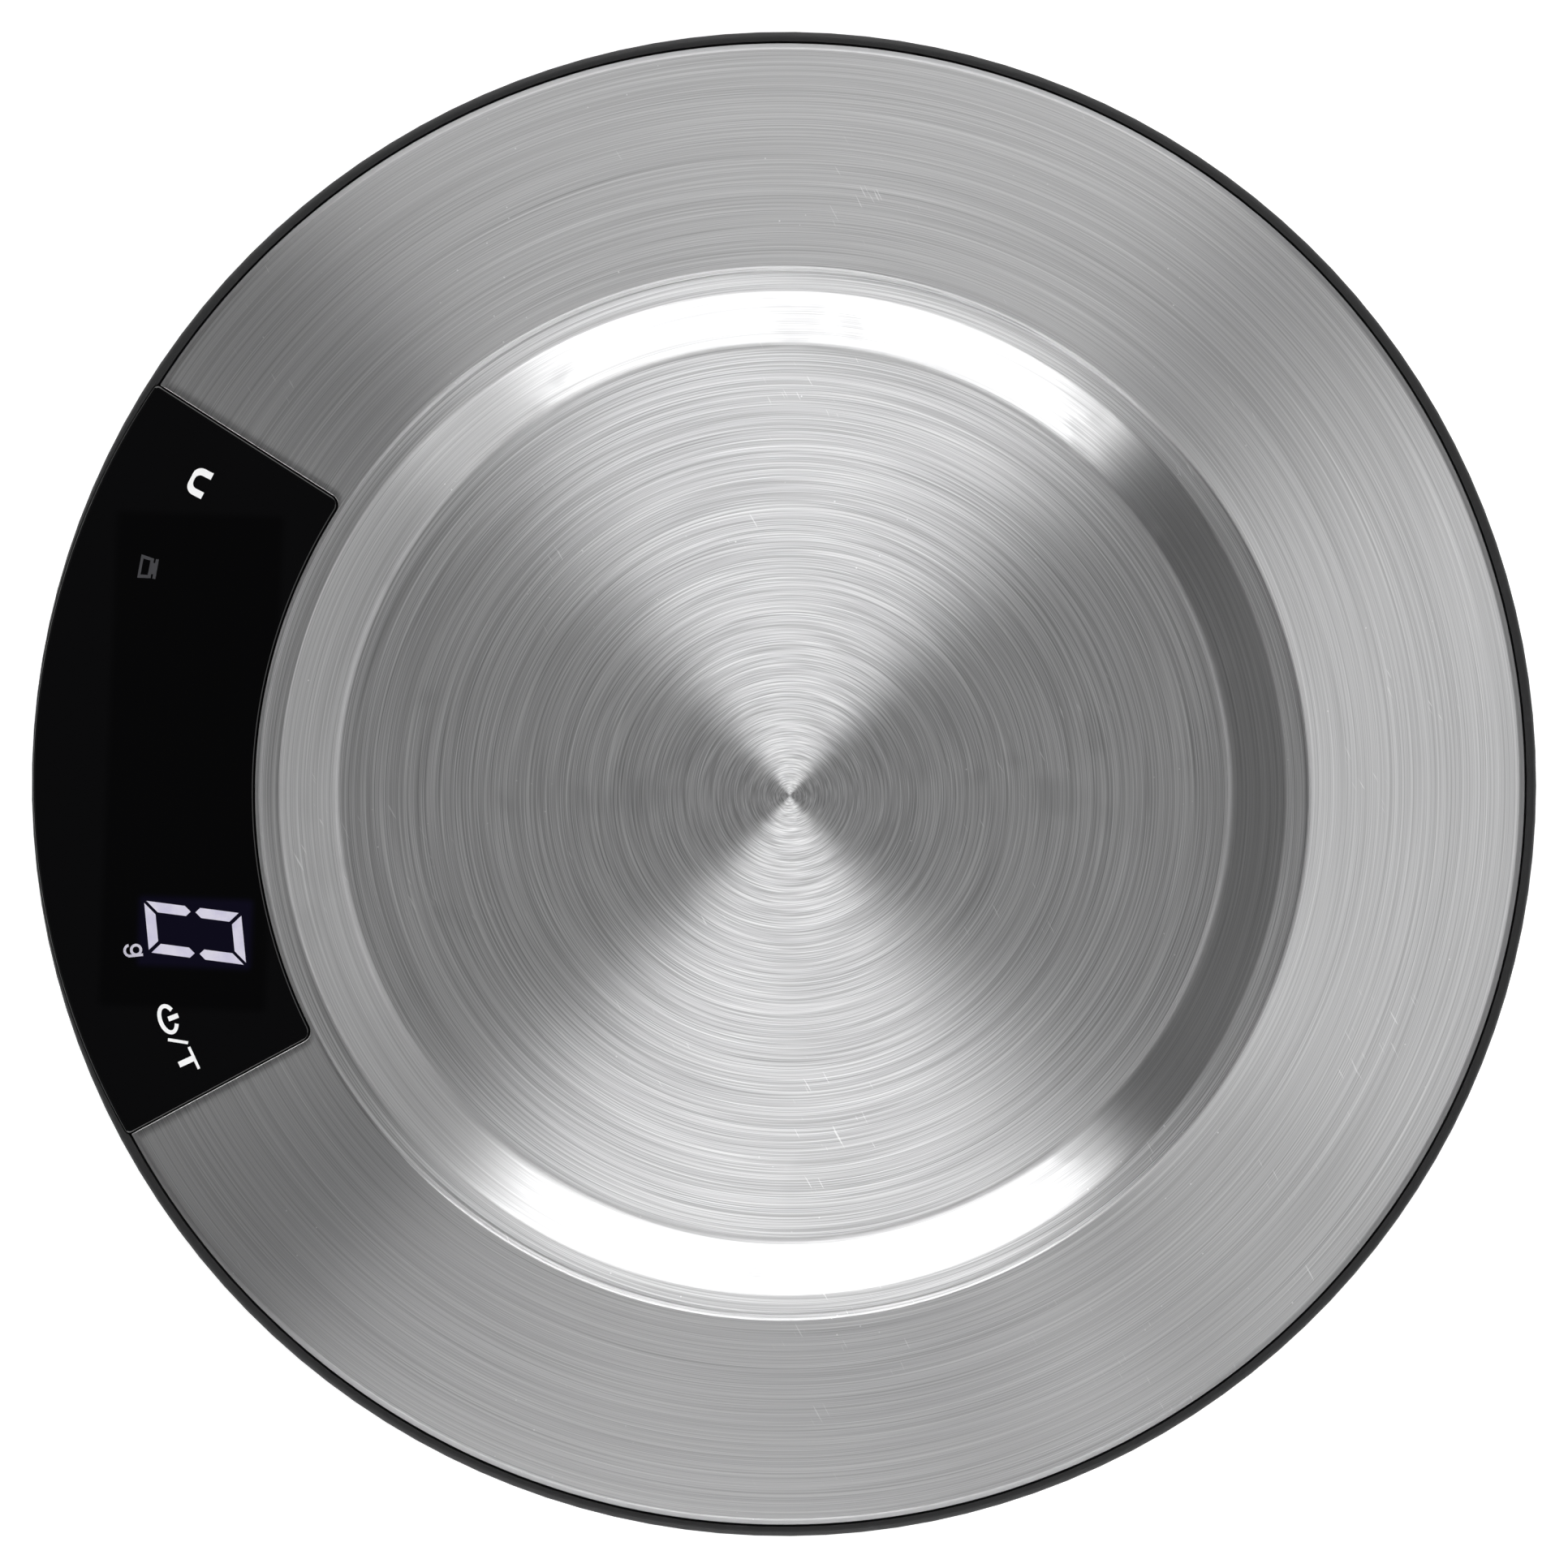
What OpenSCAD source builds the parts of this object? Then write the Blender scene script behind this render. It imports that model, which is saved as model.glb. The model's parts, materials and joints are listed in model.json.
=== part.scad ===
// Round kitchen scale: a stamped steel platform cover with a shallow dish, a glossy
// touch panel at the front (-Y), four load-cell feet and a battery bay at the back (+Y).
// Millimetres, +Z up, origin on the table under the middle of the housing.

/* [Overall] */
// Outer diameter of the housing rim
body_d = 200; // [180:1:240]
// Height of the platform's crest above the table
body_h = 22; // [21.5:0.5:28]
// Gap between the table and the housing floor
foot_clear = 3.2; // [3:0.1:4]

/* [Steel cover] */
// Sheet thickness of the steel cover
steel_t = 0.6; // [0.4:0.1:0.8]
// Fall of the cover's outer ring, in degrees
cover_slope = 3.2; // [2:0.1:4]
// Width of the black rim left around the cover
rim_w = 1.6; // [1.4:0.1:2.5]
// Radius of the rolled outer edge
roll_r = 0.9; // [0.8:0.1:1.2]
// Depth of the skirt below the rolled edge
skirt_h = 1.2; // [0.8:0.1:1.6]
// Gap between the skirt and the rim
skirt_gap = 0.3; // [0.2:0.1:0.5]

/* [Dish] */
// Width of the outer ring, from the raised crest line round the dish to the housing's edge
ring_w = 30.1; // [29:0.1:36]
// Width of the flat shoulder inside the crest
shoulder_w = 3.2; // [2.5:0.1:5]
// Width of the sloping band between the shoulder and the flat disc
band_w = 6.8; // [5:0.1:15]
// Depth of the flat disc below the crest
dish_depth = 5; // [4.6:0.1:5.4]
// Depth of the small step inside the crest
step_h = 0.5; // [0.3:0.1:0.8]
// Height of the crest line above the outer ring
bead_h = 0.08; // [0.05:0.01:0.2]
// Distance of the dish's axis from the housing's axis along X
dish_shift = 1.2; // [0:0.1:1.5]

/* [Panel] */
// Half of the angle that the panel spans
panel_half_angle = 30.4; // [28:0.1:33]
// Thickness of the panel
panel_t = 1.5; // [1.2:0.1:2]
// How far the panel's face lies below the steel
panel_drop = 0.2; // [0.1:0.05:0.4]
// Gap between the panel and the steel around it
panel_gap = 0.15; // [0.1:0.05:0.3]
// Corner radius of the cut-out in the steel
panel_corner = 1.45; // [1:0.05:2]
// Radius of the panel's outer arc
panel_arc_r = 93.7; // [84:0.1:110]
// Margin between the panel's outer arc and the rim's outside
panel_rim_gap = 0.1; // [0.1:0.05:0.5]
// Width of the bevel along the panel's edges
panel_bevel = 0.35; // [0.2:0.05:0.5]

/* [Display and keys] */
// Height of a digit
digit_h = 12.7; // [11:0.1:14]
// Width of a digit
digit_w = 6.9; // [6:0.1:7.5]
// Width of a digit's strokes
digit_stroke = 1.35; // [1.1:0.05:1.6]
// Gap between neighbouring strokes
digit_gap = 0.32; // [0.2:0.02:0.5]
// Lean of the digits, in degrees
digit_slant = 13; // [0:1:15]
// Distance between digits along their row
digit_pitch = 11.4; // [10:0.1:12]
// Distance of the digit row's middle from the crest
digit_row_out = 9; // [8.5:0.1:10]
// Radius of the curve that the digit row follows
digit_curve_r = 168; // [120:1:250]
// Distance from the digit row to the row of small signs
sign_drop = 8.4; // [8:0.1:9]
// Distance of the key legends from the crest
key_out = 17.5; // [16:0.1:19]
// Angle of each key from the panel's middle
key_angle = 25.1; // [24:0.1:26]
// Angle between neighbouring marks of one key
key_step = 2; // [1.5:0.1:2.5]
// Depth of the printed marks in the panel's face
print_t = 0.12; // [0.1:0.01:0.2]
// Depth of the lit unit sign in the panel
sign_t = 0.5; // [0.3:0.1:1]

/* [Housing] */
// Wall thickness of the upper housing's outside
wall_t = 1.8; // [1.6:0.1:2.4]
// Thickness of the deck under the cover
deck_t = 1.8; // [1.6:0.1:2.2]
// Thickness of the seat under the panel
seat_t = 1.6; // [1.4:0.1:2]
// Thickness of the lower housing's floor
floor_t = 2; // [1.8:0.1:2.4]
// Height of the joint line between the two housings
split_z = 8.4; // [8:0.1:9]
// Gap along the joint line and around the locating lip
split_gap = 0.25; // [0.2:0.05:0.4]
// Height of the locating lip
lip_h = 2.6; // [2:0.1:3]
// Thickness of the adhesive tape
tape_t = 0.2; // [0.15:0.05:0.25]

/* [Feet and load cells] */
// Distance of each foot from the housing's edge
foot_in = 28; // [26:0.5:32]
// Diameter of a foot
foot_d = 24; // [22:0.5:25]
// Gap between a foot and its hole in the floor
foot_gap = 0.4; // [0.3:0.1:0.6]
// Diameter of the rubber pad
pad_d = 20; // [16:0.5:21]
// Thickness of the rubber pad
pad_t = 1.6; // [1.4:0.1:2]
// Depth of the pad's pocket in the foot
pad_pocket = 0.7; // [0.5:0.1:1]
// Gap between a foot's hole and the load cell's posts
post_gap = 0.96; // [0.5:0.02:2]
// Diameter of the load cell's posts
post_d = 4.4; // [4:0.1:5]
// Distance of the posts from the load cell plate's edges
cell_edge = 2; // [1.8:0.1:3]
// Thickness of the load cell plate
cell_t = 2; // [1.5:0.1:2.2]
// Height of the load cell plate above the floor
cell_lift = 4.2; // [3.8:0.1:4.6]

/* [Battery] */
// Diameter of a cell, AAA size
battery_d = 10.3; // [10:0.1:10.5]
// Length of a cell without its tip
battery_len = 43.4; // [43:0.1:44]
// Margin between the battery door's corners and the edge of the flat floor
bay_margin = 2; // [1:0.1:4]
// Wall thickness of the battery bay
bay_wall = 1.4; // [1.2:0.1:1.6]
// Thickness of the battery door
door_t = 1.6; // [1.4:0.1:2]
// Gap around the battery door
door_gap = 0.3; // [0.2:0.05:0.4]

/* [Fasteners] */
// Distance of the housing screws from the housing's edge
screw_in = 12; // [11:0.5:14]
// Diameter of a housing screw's thread
screw_d = 2.6; // [2.2:0.1:3]
// Diameter of a housing screw's head
screw_head_d = 5; // [4.5:0.1:5.5]
// Diameter of the small screws of the board and load cells
small_screw_d = 2; // [1.8:0.1:2.2]

/* [Hidden] */
$fn = 96;

eps = 0.01;
far = 2 * body_d;

// Cover: heights and radii
body_r = body_d / 2;
cover_r = body_r - rim_w;
roll_top_r = cover_r - roll_r;
dish_c = [dish_shift, 0];
crest_r = body_r - ring_w;
shoulder_r = crest_r - shoulder_w;
disc_r = shoulder_r - band_w;
shoulder_z = body_h - step_h;
disc_z = body_h - dish_depth;
bead_r = 0.25;
step_r = crest_r - 2 * bead_r;
step_wall = 0.45;
roll_z = cover_z(roll_top_r);
skirt_z = roll_z - roll_r - skirt_h;
groove_gap = 0.3;
groove_z = skirt_z - groove_gap;
groove_r = roll_top_r - 0.4;
// Short slopes that ease the folds at the disc's edge and at the shoulder
disc_ease_in = 1;
disc_ease_out = 0.5;
disc_ease_rise = 0.35;
shoulder_ease = 0.5;
shoulder_fall = 0.28;
// Share of a wall's shift that its gentle folds take up
fold_share = 0.3;

// Height of the outer ring's face at radius r
function cover_z(r) = body_h - bead_h - (r - crest_r) * tan(cover_slope);
// Points of an arc about c, from angle a0 to a1
function arc(c, r, a0, a1, n = 8) =
    [for (i = [0:n]) let (a = a0 + (a1 - a0) * i / n) [c[0] + r * cos(a), c[1] + r * sin(a)]];
function polar(r, a) = [r * cos(a), r * sin(a)];

// Brim of the housing's pan, which runs under the inside of the outer ring
brim_r = crest_r + 4.6;

// Panel: its outer arc is struck about a point in front of the axis
panel_arc_y = -(body_r - panel_rim_gap - panel_arc_r);
open_r = crest_r + 0.25;
seat_drop = panel_drop + panel_t + tape_t;
deck_drop = steel_t + tape_t;
front = -90;

// Display: the digit row lies on a large circle about row_c
digit_row_r = crest_r + digit_row_out;
key_r = crest_r + key_out;
row_c = [0, digit_curve_r - digit_row_r];
digit_step = 2 * asin(digit_pitch / 2 / digit_curve_r);
digit_count = 5;
sign_angle = 8.3;

// Board stack under the panel
module_h = 5.4;
module_half = (digit_count - 1) / 2 * digit_step + 2.6;
module_in_r = digit_curve_r - digit_h / 2 - 1.5;
module_out_r = digit_curve_r + sign_drop + 1.8;
module_corner_r = norm(row_c + module_out_r * [sin(module_half), -cos(module_half)]);
module_top_z = cover_z(module_corner_r) - panel_drop - panel_t - 0.1;
board_t = 1.2;
board_top_z = module_top_z - module_h;
board_z = board_top_z - board_t;
board_in_r = crest_r - 3.9;
board_out_r = body_r - 5.5;
board_half_angle = 28.5;
board_screw_len = 4.5;
board_screw_spots = [polar(board_in_r + 3, front - 24), polar(board_in_r + 3, front + 24),
    polar(board_out_r - 2.6, front)];
board_post_d = 5;
board_post_hole = 4.2;
spring_d = 7;
spring_wire = 0.6;

// Lower housing
floor_z = foot_clear;
floor_top = floor_z + floor_t;
tray_r = body_r - 0.8;
tray_flat_r = body_r - 4.5;
tray_turn = [1.2, 1.6];
tray_turn_h = 3.2;
lip_out_r = body_r - wall_t - split_gap;
lip_t = 1.6;

// Feet
foot_ring_r = body_r - foot_in;
foot_spots = [for (a = [225, 315, 135, 45]) polar(foot_ring_r, a)];
foot_top = floor_top - 0.2;
cell_z = floor_top + cell_lift;
stem_d = 7;
spigot_d = 3;
spigot_gap = 0.2;
post_off = (foot_d / 2 + foot_gap + post_gap + post_d / 2) / sqrt(2);
cell_w = 2 * (post_off + cell_edge);
tongue_w = 9;
slot_w = 1.6;
frame_w = 4;

// Battery bay
tip_d = 3.6;
tip_len = 1;
cell_play = 0.2;
contact_t = 0.4;
bay_len = battery_len + tip_len + 2 * contact_t + 2.2;
bay_w = 2 * battery_d + 3 * cell_play + 0.4;
door_top = floor_z + door_t;
battery_z = door_top + 0.3 + battery_d / 2;
bay_roof = battery_z + battery_d / 2 + 0.4;
bay_roof_t = 1.2;
door_lap = 0.8;
door_len = bay_len + 2 * door_lap;
door_corner_r = tray_flat_r - bay_margin;
bay_y = sqrt(door_corner_r * door_corner_r - door_len * door_len / 4) - bay_w - door_lap;
door_y0 = bay_y - door_lap;
door_y1 = bay_y + bay_w + door_lap;
battery_inner_y = bay_y + 0.2 + cell_play + battery_d / 2;
battery_outer_y = battery_inner_y + battery_d + cell_play;
hinge_y = door_y0 - door_gap;
tab_w = 6;
tab_x = 15;
tab_t = 1.2;
bay_clear = 0.3;
battery_lead_d = 1.4;
finger_d = 10;

// Fasteners
screw_ring_r = body_r - screw_in;
screw_spots = [for (a = [0, 60, 120, 180, 236, 304]) polar(screw_ring_r, a)];
head_h = 1.8;
head_z = floor_z + 0.3;
screw_len = 10;
small_head_d = 3.6;
small_head_h = 1.1;
pilot_gap = 0.05;
boss_d = 6;
column_d = 8;
column_top = 9.4;

// ---------- shared shapes ----------

// Band of the outer ring's cone, from drop a to drop b below its face
module cone_band(a, b, r0, r1) {
    rotate_extrude()
        polygon([[r0, cover_z(r0) - a], [r1, cover_z(r1) - a], [r1, cover_z(r1) - b], [r0, cover_z(r0) - b]]);
}

// Distance along direction u from point q to the circle of radius r about the origin
function reach(q, u, r) = let (qu = q * u) sqrt(qu * qu - q * q + r * r) - qu;

// Centre of the rounding between side line s and a circle about c, and its two ends;
// the rounding lies outside the circle when out is 1, and inside it when out is -1
function corner_round(apex, s, c, r, f, out) =
    let (u = [s * sin(panel_half_angle), -cos(panel_half_angle)],
        n = [-s * cos(panel_half_angle), -sin(panel_half_angle)],
        t = reach(apex + f * n - c, u, r + out * f),
        centre = apex + t * u + f * n)
    [centre, apex + t * u, c + (centre - c) * r / (r + out * f)];

// Points first to last of n + 1 along the shorter arc about c from point p to point q
function arc_between(c, p, q, n, first = 0, last = 0) =
    let (a = atan2(p[1] - c[1], p[0] - c[0]), b = atan2(q[1] - c[1], q[0] - c[0]),
        d = b - a > 180 ? b - a - 360 : b - a < -180 ? b - a + 360 : b - a)
    [for (i = [first:n - last]) c + norm(p - c) * [cos(a + d * i / n), sin(a + d * i / n)]];

// Outline of the panel's cut-out, drawn in by inset: outer arc, right side, inner arc, left side
module panel_outline(inset) {
    apex = [0, -inset / sin(panel_half_angle)];
    inner_r = open_r + inset;
    outer_r = panel_arc_r - inset;
    outer_c = [0, panel_arc_y];
    f = max(0.2, panel_corner - inset);
    outer = [for (s = [-1, 1]) corner_round(apex, s, outer_c, outer_r, f / 2, -1)];
    inner = [for (s = [-1, 1]) corner_round(apex, s, dish_c, inner_r, f, 1)];
    polygon(concat(
        arc_between(outer_c, outer[0][2], outer[1][2], 36),
        arc_between(outer[1][0], outer[1][2], outer[1][1], 5, first = 1),
        arc_between(inner[1][0], inner[1][1], inner[1][2], 6, last = 1),
        arc_between(dish_c, inner[1][2], inner[0][2], 36),
        arc_between(inner[0][0], inner[0][2], inner[0][1], 6, first = 1),
        arc_between(outer[0][0], outer[0][1], outer[0][2], 5, last = 1)));
}

// Solid under the cone between two drops, cut to a plan shape
module panel_slab(a, b) {
    intersection() {
        cone_band(a, b, disc_r, body_r + 1);
        translate([0, 0, -eps]) linear_extrude(body_h + 10) children();
    }
}

// Points of a chain with each inner corner turned into a short curve that starts r before it
function rounded(points, r, steps = 4) = concat([points[0]],
    [for (i = [1:len(points) - 2]) let (p = points[i], a = points[i - 1] - p, b = points[i + 1] - p,
        p0 = p + r * a / norm(a), p2 = p + r * b / norm(b))
        for (k = [0:steps]) let (t = k / steps) (1 - t) * (1 - t) * p0 + 2 * t * (1 - t) * p + t * t * p2],
    [points[len(points) - 1]]);

// Unit direction of a chain at each of its points
function headings(p) = [for (i = [0:len(p) - 1])
    let (v = p[min(i + 1, len(p) - 1)] - p[max(i - 1, 0)]) v / norm(v)];

// Normals carried along the chain without twist
function normals(t, n, i = 0) = i == len(t) ? [] :
    let (m = n - (n * t[i]) * t[i], u = m / norm(m)) concat([u], normals(t, u, i + 1));

// Round lead of diameter d swept along a chain whose corners are rounded
module wire(chain, d, side = [0, 1, 0]) {
    sides = 8;
    p = rounded(chain, 1.6 * d);
    t = headings(p);
    u = normals(t, side);
    last = len(p) - 1;
    rings = [for (i = [0:last]) for (k = [0:sides - 1]) let (a = 360 * k / sides)
        p[i] + d / 2 * (cos(a) * u[i] + sin(a) * cross(t[i], u[i]))];
    skin = [for (i = [0:last - 1]) for (k = [0:sides - 1])
        let (m = (k + 1) % sides, a = i * sides, b = a + sides)
            each [[a + k, b + k, b + m], [a + k, b + m, a + m]]];
    polyhedron(rings, concat([[for (k = [0:sides - 1]) k]], skin,
        [[for (k = [sides - 1:-1:0]) last * sides + k]]));
}

// ---------- cover ----------

// Flat part, sloping band and small step of the dish, drop 0 for the face
function dish_face(drop, shift) = [
    [0, disc_z - drop],
    [disc_r - disc_ease_in + shift * fold_share, disc_z - drop],
    [disc_r + disc_ease_out + shift * fold_share, disc_z - drop + disc_ease_rise],
    [shoulder_r - shoulder_ease + shift * fold_share, shoulder_z - drop - shoulder_fall],
    [shoulder_r + shoulder_ease + shift * fold_share, shoulder_z - drop],
    [step_r + shift, shoulder_z - drop]];

module dish_shell() {
    face = dish_face(0, 0);
    back = dish_face(steel_t, step_wall);
    bead = arc([crest_r - bead_r, body_h - bead_r], bead_r, 180, 0, 6);
    flange_r = (crest_r + open_r) / 2;
    flange_z = cover_z(crest_r) - steel_t - 0.05;
    rotate_extrude($fn = 192)
        polygon(concat(face, bead,
            [[flange_r, body_h - bead_r], [flange_r, flange_z], [step_r + step_wall, flange_z]],
            [for (i = [len(back) - 1:-1:0]) back[i]]));
}

module cover_ring() {
    roll_out = arc([roll_top_r, roll_z - roll_r], roll_r, 90, 0);
    roll_in = arc([roll_top_r, roll_z - roll_r], roll_r - steel_t, 0, 90);
    inner = crest_r - 2;
    rotate_extrude($fn = 192)
        polygon(concat([[inner, cover_z(inner)]], roll_out, [[cover_r, skirt_z], [cover_r - steel_t, skirt_z]],
            roll_in, [[inner, cover_z(inner) - steel_t]]));
}

module steel_cover() {
    color([0.72, 0.72, 0.73]) union() {
        difference() {
            cover_ring();
            translate([dish_c[0], dish_c[1], 0]) cylinder(r = crest_r - bead_r, h = far, $fn = 192);
            translate([0, 0, -eps]) linear_extrude(far) panel_outline(0);
        }
        translate([dish_c[0], dish_c[1], 0]) dish_shell();
    }
}

module cover_tape() {
    color([0.85, 0.85, 0.82]) {
        difference() {
            cone_band(steel_t, deck_drop, brim_r + 1.5, cover_r - 4.4);
            translate([0, 0, -eps]) linear_extrude(far) panel_outline(-2);
        }
        translate([dish_c[0], dish_c[1], disc_z - deck_drop]) cylinder(r = disc_r - 4, h = tape_t);
    }
}

// ---------- control panel ----------

module digit_place(i) {
    translate(row_c) rotate(i * digit_step) translate([0, -digit_curve_r]) children();
}

module sign_place(side) {
    translate(row_c) rotate(side * sign_angle) translate([0, -digit_curve_r - sign_drop]) children();
}

module key_place(a) {
    rotate(a) translate([0, -key_r]) children();
}

function lean(p) = [p[0] + p[1] * tan(digit_slant), p[1]];
function leaned(points) = [for (p = points) lean(p)];

// One upright stroke of a digit in its upper left corner
function upright() = let (w = digit_w / 2, h = digit_h / 2, s = digit_stroke, g = digit_gap)
    [[-w, h - g], [-w, s / 2 + g], [-w + s / 2, g], [-w + s, s / 2 + g], [-w + s, h - s - g]];

// The top stroke of a digit
function crossbar() = let (w = digit_w / 2, h = digit_h / 2, s = digit_stroke, g = digit_gap)
    [[-w + g, h], [w - g, h], [w - s - g, h - s], [-w + s + g, h - s]];

module digit_zero() {
    for (sx = [-1, 1]) for (sy = [-1, 1])
        polygon(leaned([for (p = upright()) [sx * p[0], sy * p[1]]]));
    for (sy = [-1, 1]) polygon(leaned([for (p = crossbar()) [p[0], sy * p[1]]]));
}

module ring_part(r, w, a0, a1) {
    polygon(concat(arc([0, 0], r, a0, a1, 24), arc([0, 0], r - w, a1, a0, 24)));
}

module sign_gram() {
    translate([-0.1, 0.35]) ring_part(0.82, 0.36, 0, 359.9);
    translate([0.44, -0.75]) square([0.36, 1.95]);
    translate([-0.1, -0.45]) ring_part(0.9, 0.34, 190, 360);
}

module sign_volume() {
    foot = 1.58;
    top = 1.32;
    difference() {
        polygon([[-foot, -1.2], [foot, -1.2], [top, 0.55], [-top, 0.55]]);
        polygon([[-foot + 0.5, -0.85], [foot - 0.5, -0.85], [top - 0.35, 0.12], [-top + 0.35, 0.12]]);
    }
    translate([-0.75, 0.55 - eps]) square([1.5, 0.3]);
    translate([-top, 0.8]) square([2 * top, 0.4]);
}

module rounded_cup(w, h, r) {
    translate([-w / 2, -h / 2 + r]) square([w, h - r]);
    translate([-w / 2 + r, -h / 2]) square([w - 2 * r, r + eps]);
    for (s = [-1, 1]) translate([s * (w / 2 - r), -h / 2 + r]) circle(r);
}

module legend_unit() {
    difference() {
        rounded_cup(3.8, 2.5, 1.2);
        translate([0, 0.55]) rounded_cup(1.9, 2.5, 0.75);
    }
}

// Open ring of the power sign, wider than it is tall
module legend_power() {
    a = 2.1;
    b = 1.3;
    stroke = 0.55;
    n = 36;
    opening = 32;
    ring = [for (i = [0:n]) 90 + opening + (360 - 2 * opening) * i / n];
    translate([0, -0.15])
        polygon(concat([for (t = ring) [a * cos(t), b * sin(t)]],
            [for (i = [n:-1:0]) [(a - stroke) * cos(ring[i]), (b - stroke) * sin(ring[i])]]));
    translate([-0.33, -0.1]) square([0.66, 1.4]);
}

module legend_tare() {
    translate([-1.6, 0.85]) square([3.2, 0.38]);
    translate([-0.4, -1.15]) square([0.8, 2.01]);
}

module legend_slash() {
    rotate(-32) square([0.4, 2.7], center = true);
}

module legends() {
    key_place(-key_angle) legend_unit();
    key_place(key_angle - key_step) legend_power();
    key_place(key_angle + 0.05 * key_step) legend_slash();
    key_place(key_angle + key_step) legend_tare();
}

module panel_bevel_cut() {
    // a narrow slope along the outline, dropped by a third of the bevel's width
    panel_slab(panel_drop - 0.5, panel_drop + panel_bevel * 0.35) difference() {
        panel_outline(panel_gap - 1);
        panel_outline(panel_gap + panel_bevel);
    }
}

module control_panel() {
    color([0.04, 0.04, 0.045]) difference() {
        panel_slab(panel_drop, panel_drop + panel_t) panel_outline(panel_gap);
        panel_bevel_cut();
        panel_slab(panel_drop - 0.5, panel_drop + panel_t + 0.5) digit_place(2) digit_zero();
        panel_slab(panel_drop - 0.5, panel_drop + sign_t) sign_place(1) sign_gram();
        panel_slab(panel_drop - 0.5, panel_drop + print_t) {
            sign_place(-1) sign_volume();
            legends();
        }
    }
}

module lit_digit() {
    color([0.8, 0.77, 0.86]) panel_slab(panel_drop, panel_drop + panel_t) digit_place(2) digit_zero();
}

module lit_unit_sign() {
    color([0.6, 0.58, 0.64]) panel_slab(panel_drop, panel_drop + sign_t) sign_place(1) sign_gram();
}

module idle_volume_sign() {
    color([0.22, 0.22, 0.24]) panel_slab(panel_drop, panel_drop + print_t) sign_place(-1) sign_volume();
}

module key_legends() {
    color("white") panel_slab(panel_drop, panel_drop + print_t) legends();
}

// Window for the display module and holes for the springs
module seat_openings(grow) {
    module_outline(grow);
    for (s = [-1, 1]) key_place(s * key_angle) circle(spring_d / 2 + 1 + grow);
}

module panel_tape() {
    color([0.3, 0.3, 0.3])
        panel_slab(panel_drop + panel_t, seat_drop) difference() {
            panel_outline(panel_gap + 1);
            seat_openings(1);
        }
}

// ---------- display and board ----------

// Plan of the display module: a piece of a ring about the digit row's centre
module module_outline(grow) {
    reach_out = 2 * digit_curve_r;
    side = reach_out * [sin(module_half + grow / 3), -cos(module_half)];
    translate(row_c) intersection() {
        difference() {
            circle(module_out_r + grow, $fn = 256);
            circle(module_in_r - grow, $fn = 256);
        }
        polygon([[0, 0], side, [-side[0], side[1]]]);
    }
}

module display_module() {
    pocket = 0.8;
    color([0.12, 0.12, 0.13]) difference() {
        translate([0, 0, board_top_z]) linear_extrude(module_h) module_outline(0);
        translate([0, 0, module_top_z - pocket]) linear_extrude(far)
            for (i = [-2:2]) digit_place(i) {
                digit_zero();
                translate([-digit_w / 2 + digit_stroke, -0.6]) square([digit_w - 2 * digit_stroke, 1.2]);
            }
    }
}

module board_outline() {
    side = far * [sin(board_half_angle), -cos(board_half_angle)];
    intersection() {
        difference() {
            circle(board_out_r, $fn = 128);
            circle(board_in_r, $fn = 128);
        }
        polygon([[0, 0], side, [-side[0], side[1]]]);
    }
}

module main_board() {
    color([0.05, 0.3, 0.12]) translate([0, 0, board_z]) linear_extrude(board_t) difference() {
        board_outline();
        for (p = board_screw_spots) translate(p) circle(d = small_screw_d + 0.3, $fn = 24);
    }
}

chip_spot = [-17, -board_in_r - 10];
chip_w = 7;
chip_h = 1.4;
module controller_chip() {
    lead_n = 8;
    lead_pitch = (chip_w - 1.2) / (lead_n - 1);
    color([0.08, 0.08, 0.09]) translate([chip_spot[0], chip_spot[1], board_z - chip_h]) {
        translate([-chip_w / 2, -chip_w / 2, 0]) cube([chip_w, chip_w, chip_h - 0.15]);
        for (i = [0:lead_n - 1]) for (s = [-1, 1])
            translate([s * (chip_w / 2 + 0.5) - 0.6, lead_pitch * (i - (lead_n - 1) / 2) - 0.2, chip_h - 0.3])
                cube([1.2, 0.4, 0.3]);
    }
}

// Small parts on the board's underside: resistors, capacitors, a crystal and a buzzer
module board_parts() {
    color([0.55, 0.45, 0.3]) translate([0, -board_in_r, board_z]) {
        for (i = [0:5]) translate([-1 + i * 3.2, -18, -0.6]) cube([1.6, 0.8, 0.6]);
        for (i = [0:3]) translate([1 + i * 4, -6, -0.8]) cube([2, 1.25, 0.8]);
        for (x = [22, 27]) translate([x, -15, -2.5]) cylinder(d = 4, h = 2.5, $fn = 32);
        translate([-28, -15, -2]) cylinder(d = 9, h = 2, $fn = 48);
        translate([-3, -13.5, -1.3]) cube([6, 2.2, 1.3]);
    }
}

spring_sides = 6;
spring_turns = 4;
spring_rings = 12;
// Coil spring between the board and the panel, one closed strip of rings
module coil_spring(h) {
    n = spring_turns * spring_rings;
    rise = (h - spring_wire) / n;
    mid = spring_d / 2 - spring_wire / 2;
    points = [for (i = [0:n]) for (k = [0:spring_sides - 1])
        let (a = 360 * i / spring_rings, b = 360 * k / spring_sides, r = mid + spring_wire / 2 * cos(b))
            [r * cos(a), r * sin(a), spring_wire / 2 + rise * i + spring_wire / 2 * sin(b)]];
    sides = [for (i = [0:n - 1]) for (k = [0:spring_sides - 1])
        let (m = (k + 1) % spring_sides, p = i * spring_sides, q = p + spring_sides)
            each [[p + k, p + m, q + m], [p + k, q + m, q + k]]];
    start = [for (k = [spring_sides - 1:-1:0]) k];
    end = [for (k = [0:spring_sides - 1]) n * spring_sides + k];
    polyhedron(points, concat([start], sides, [end]));
}

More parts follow.
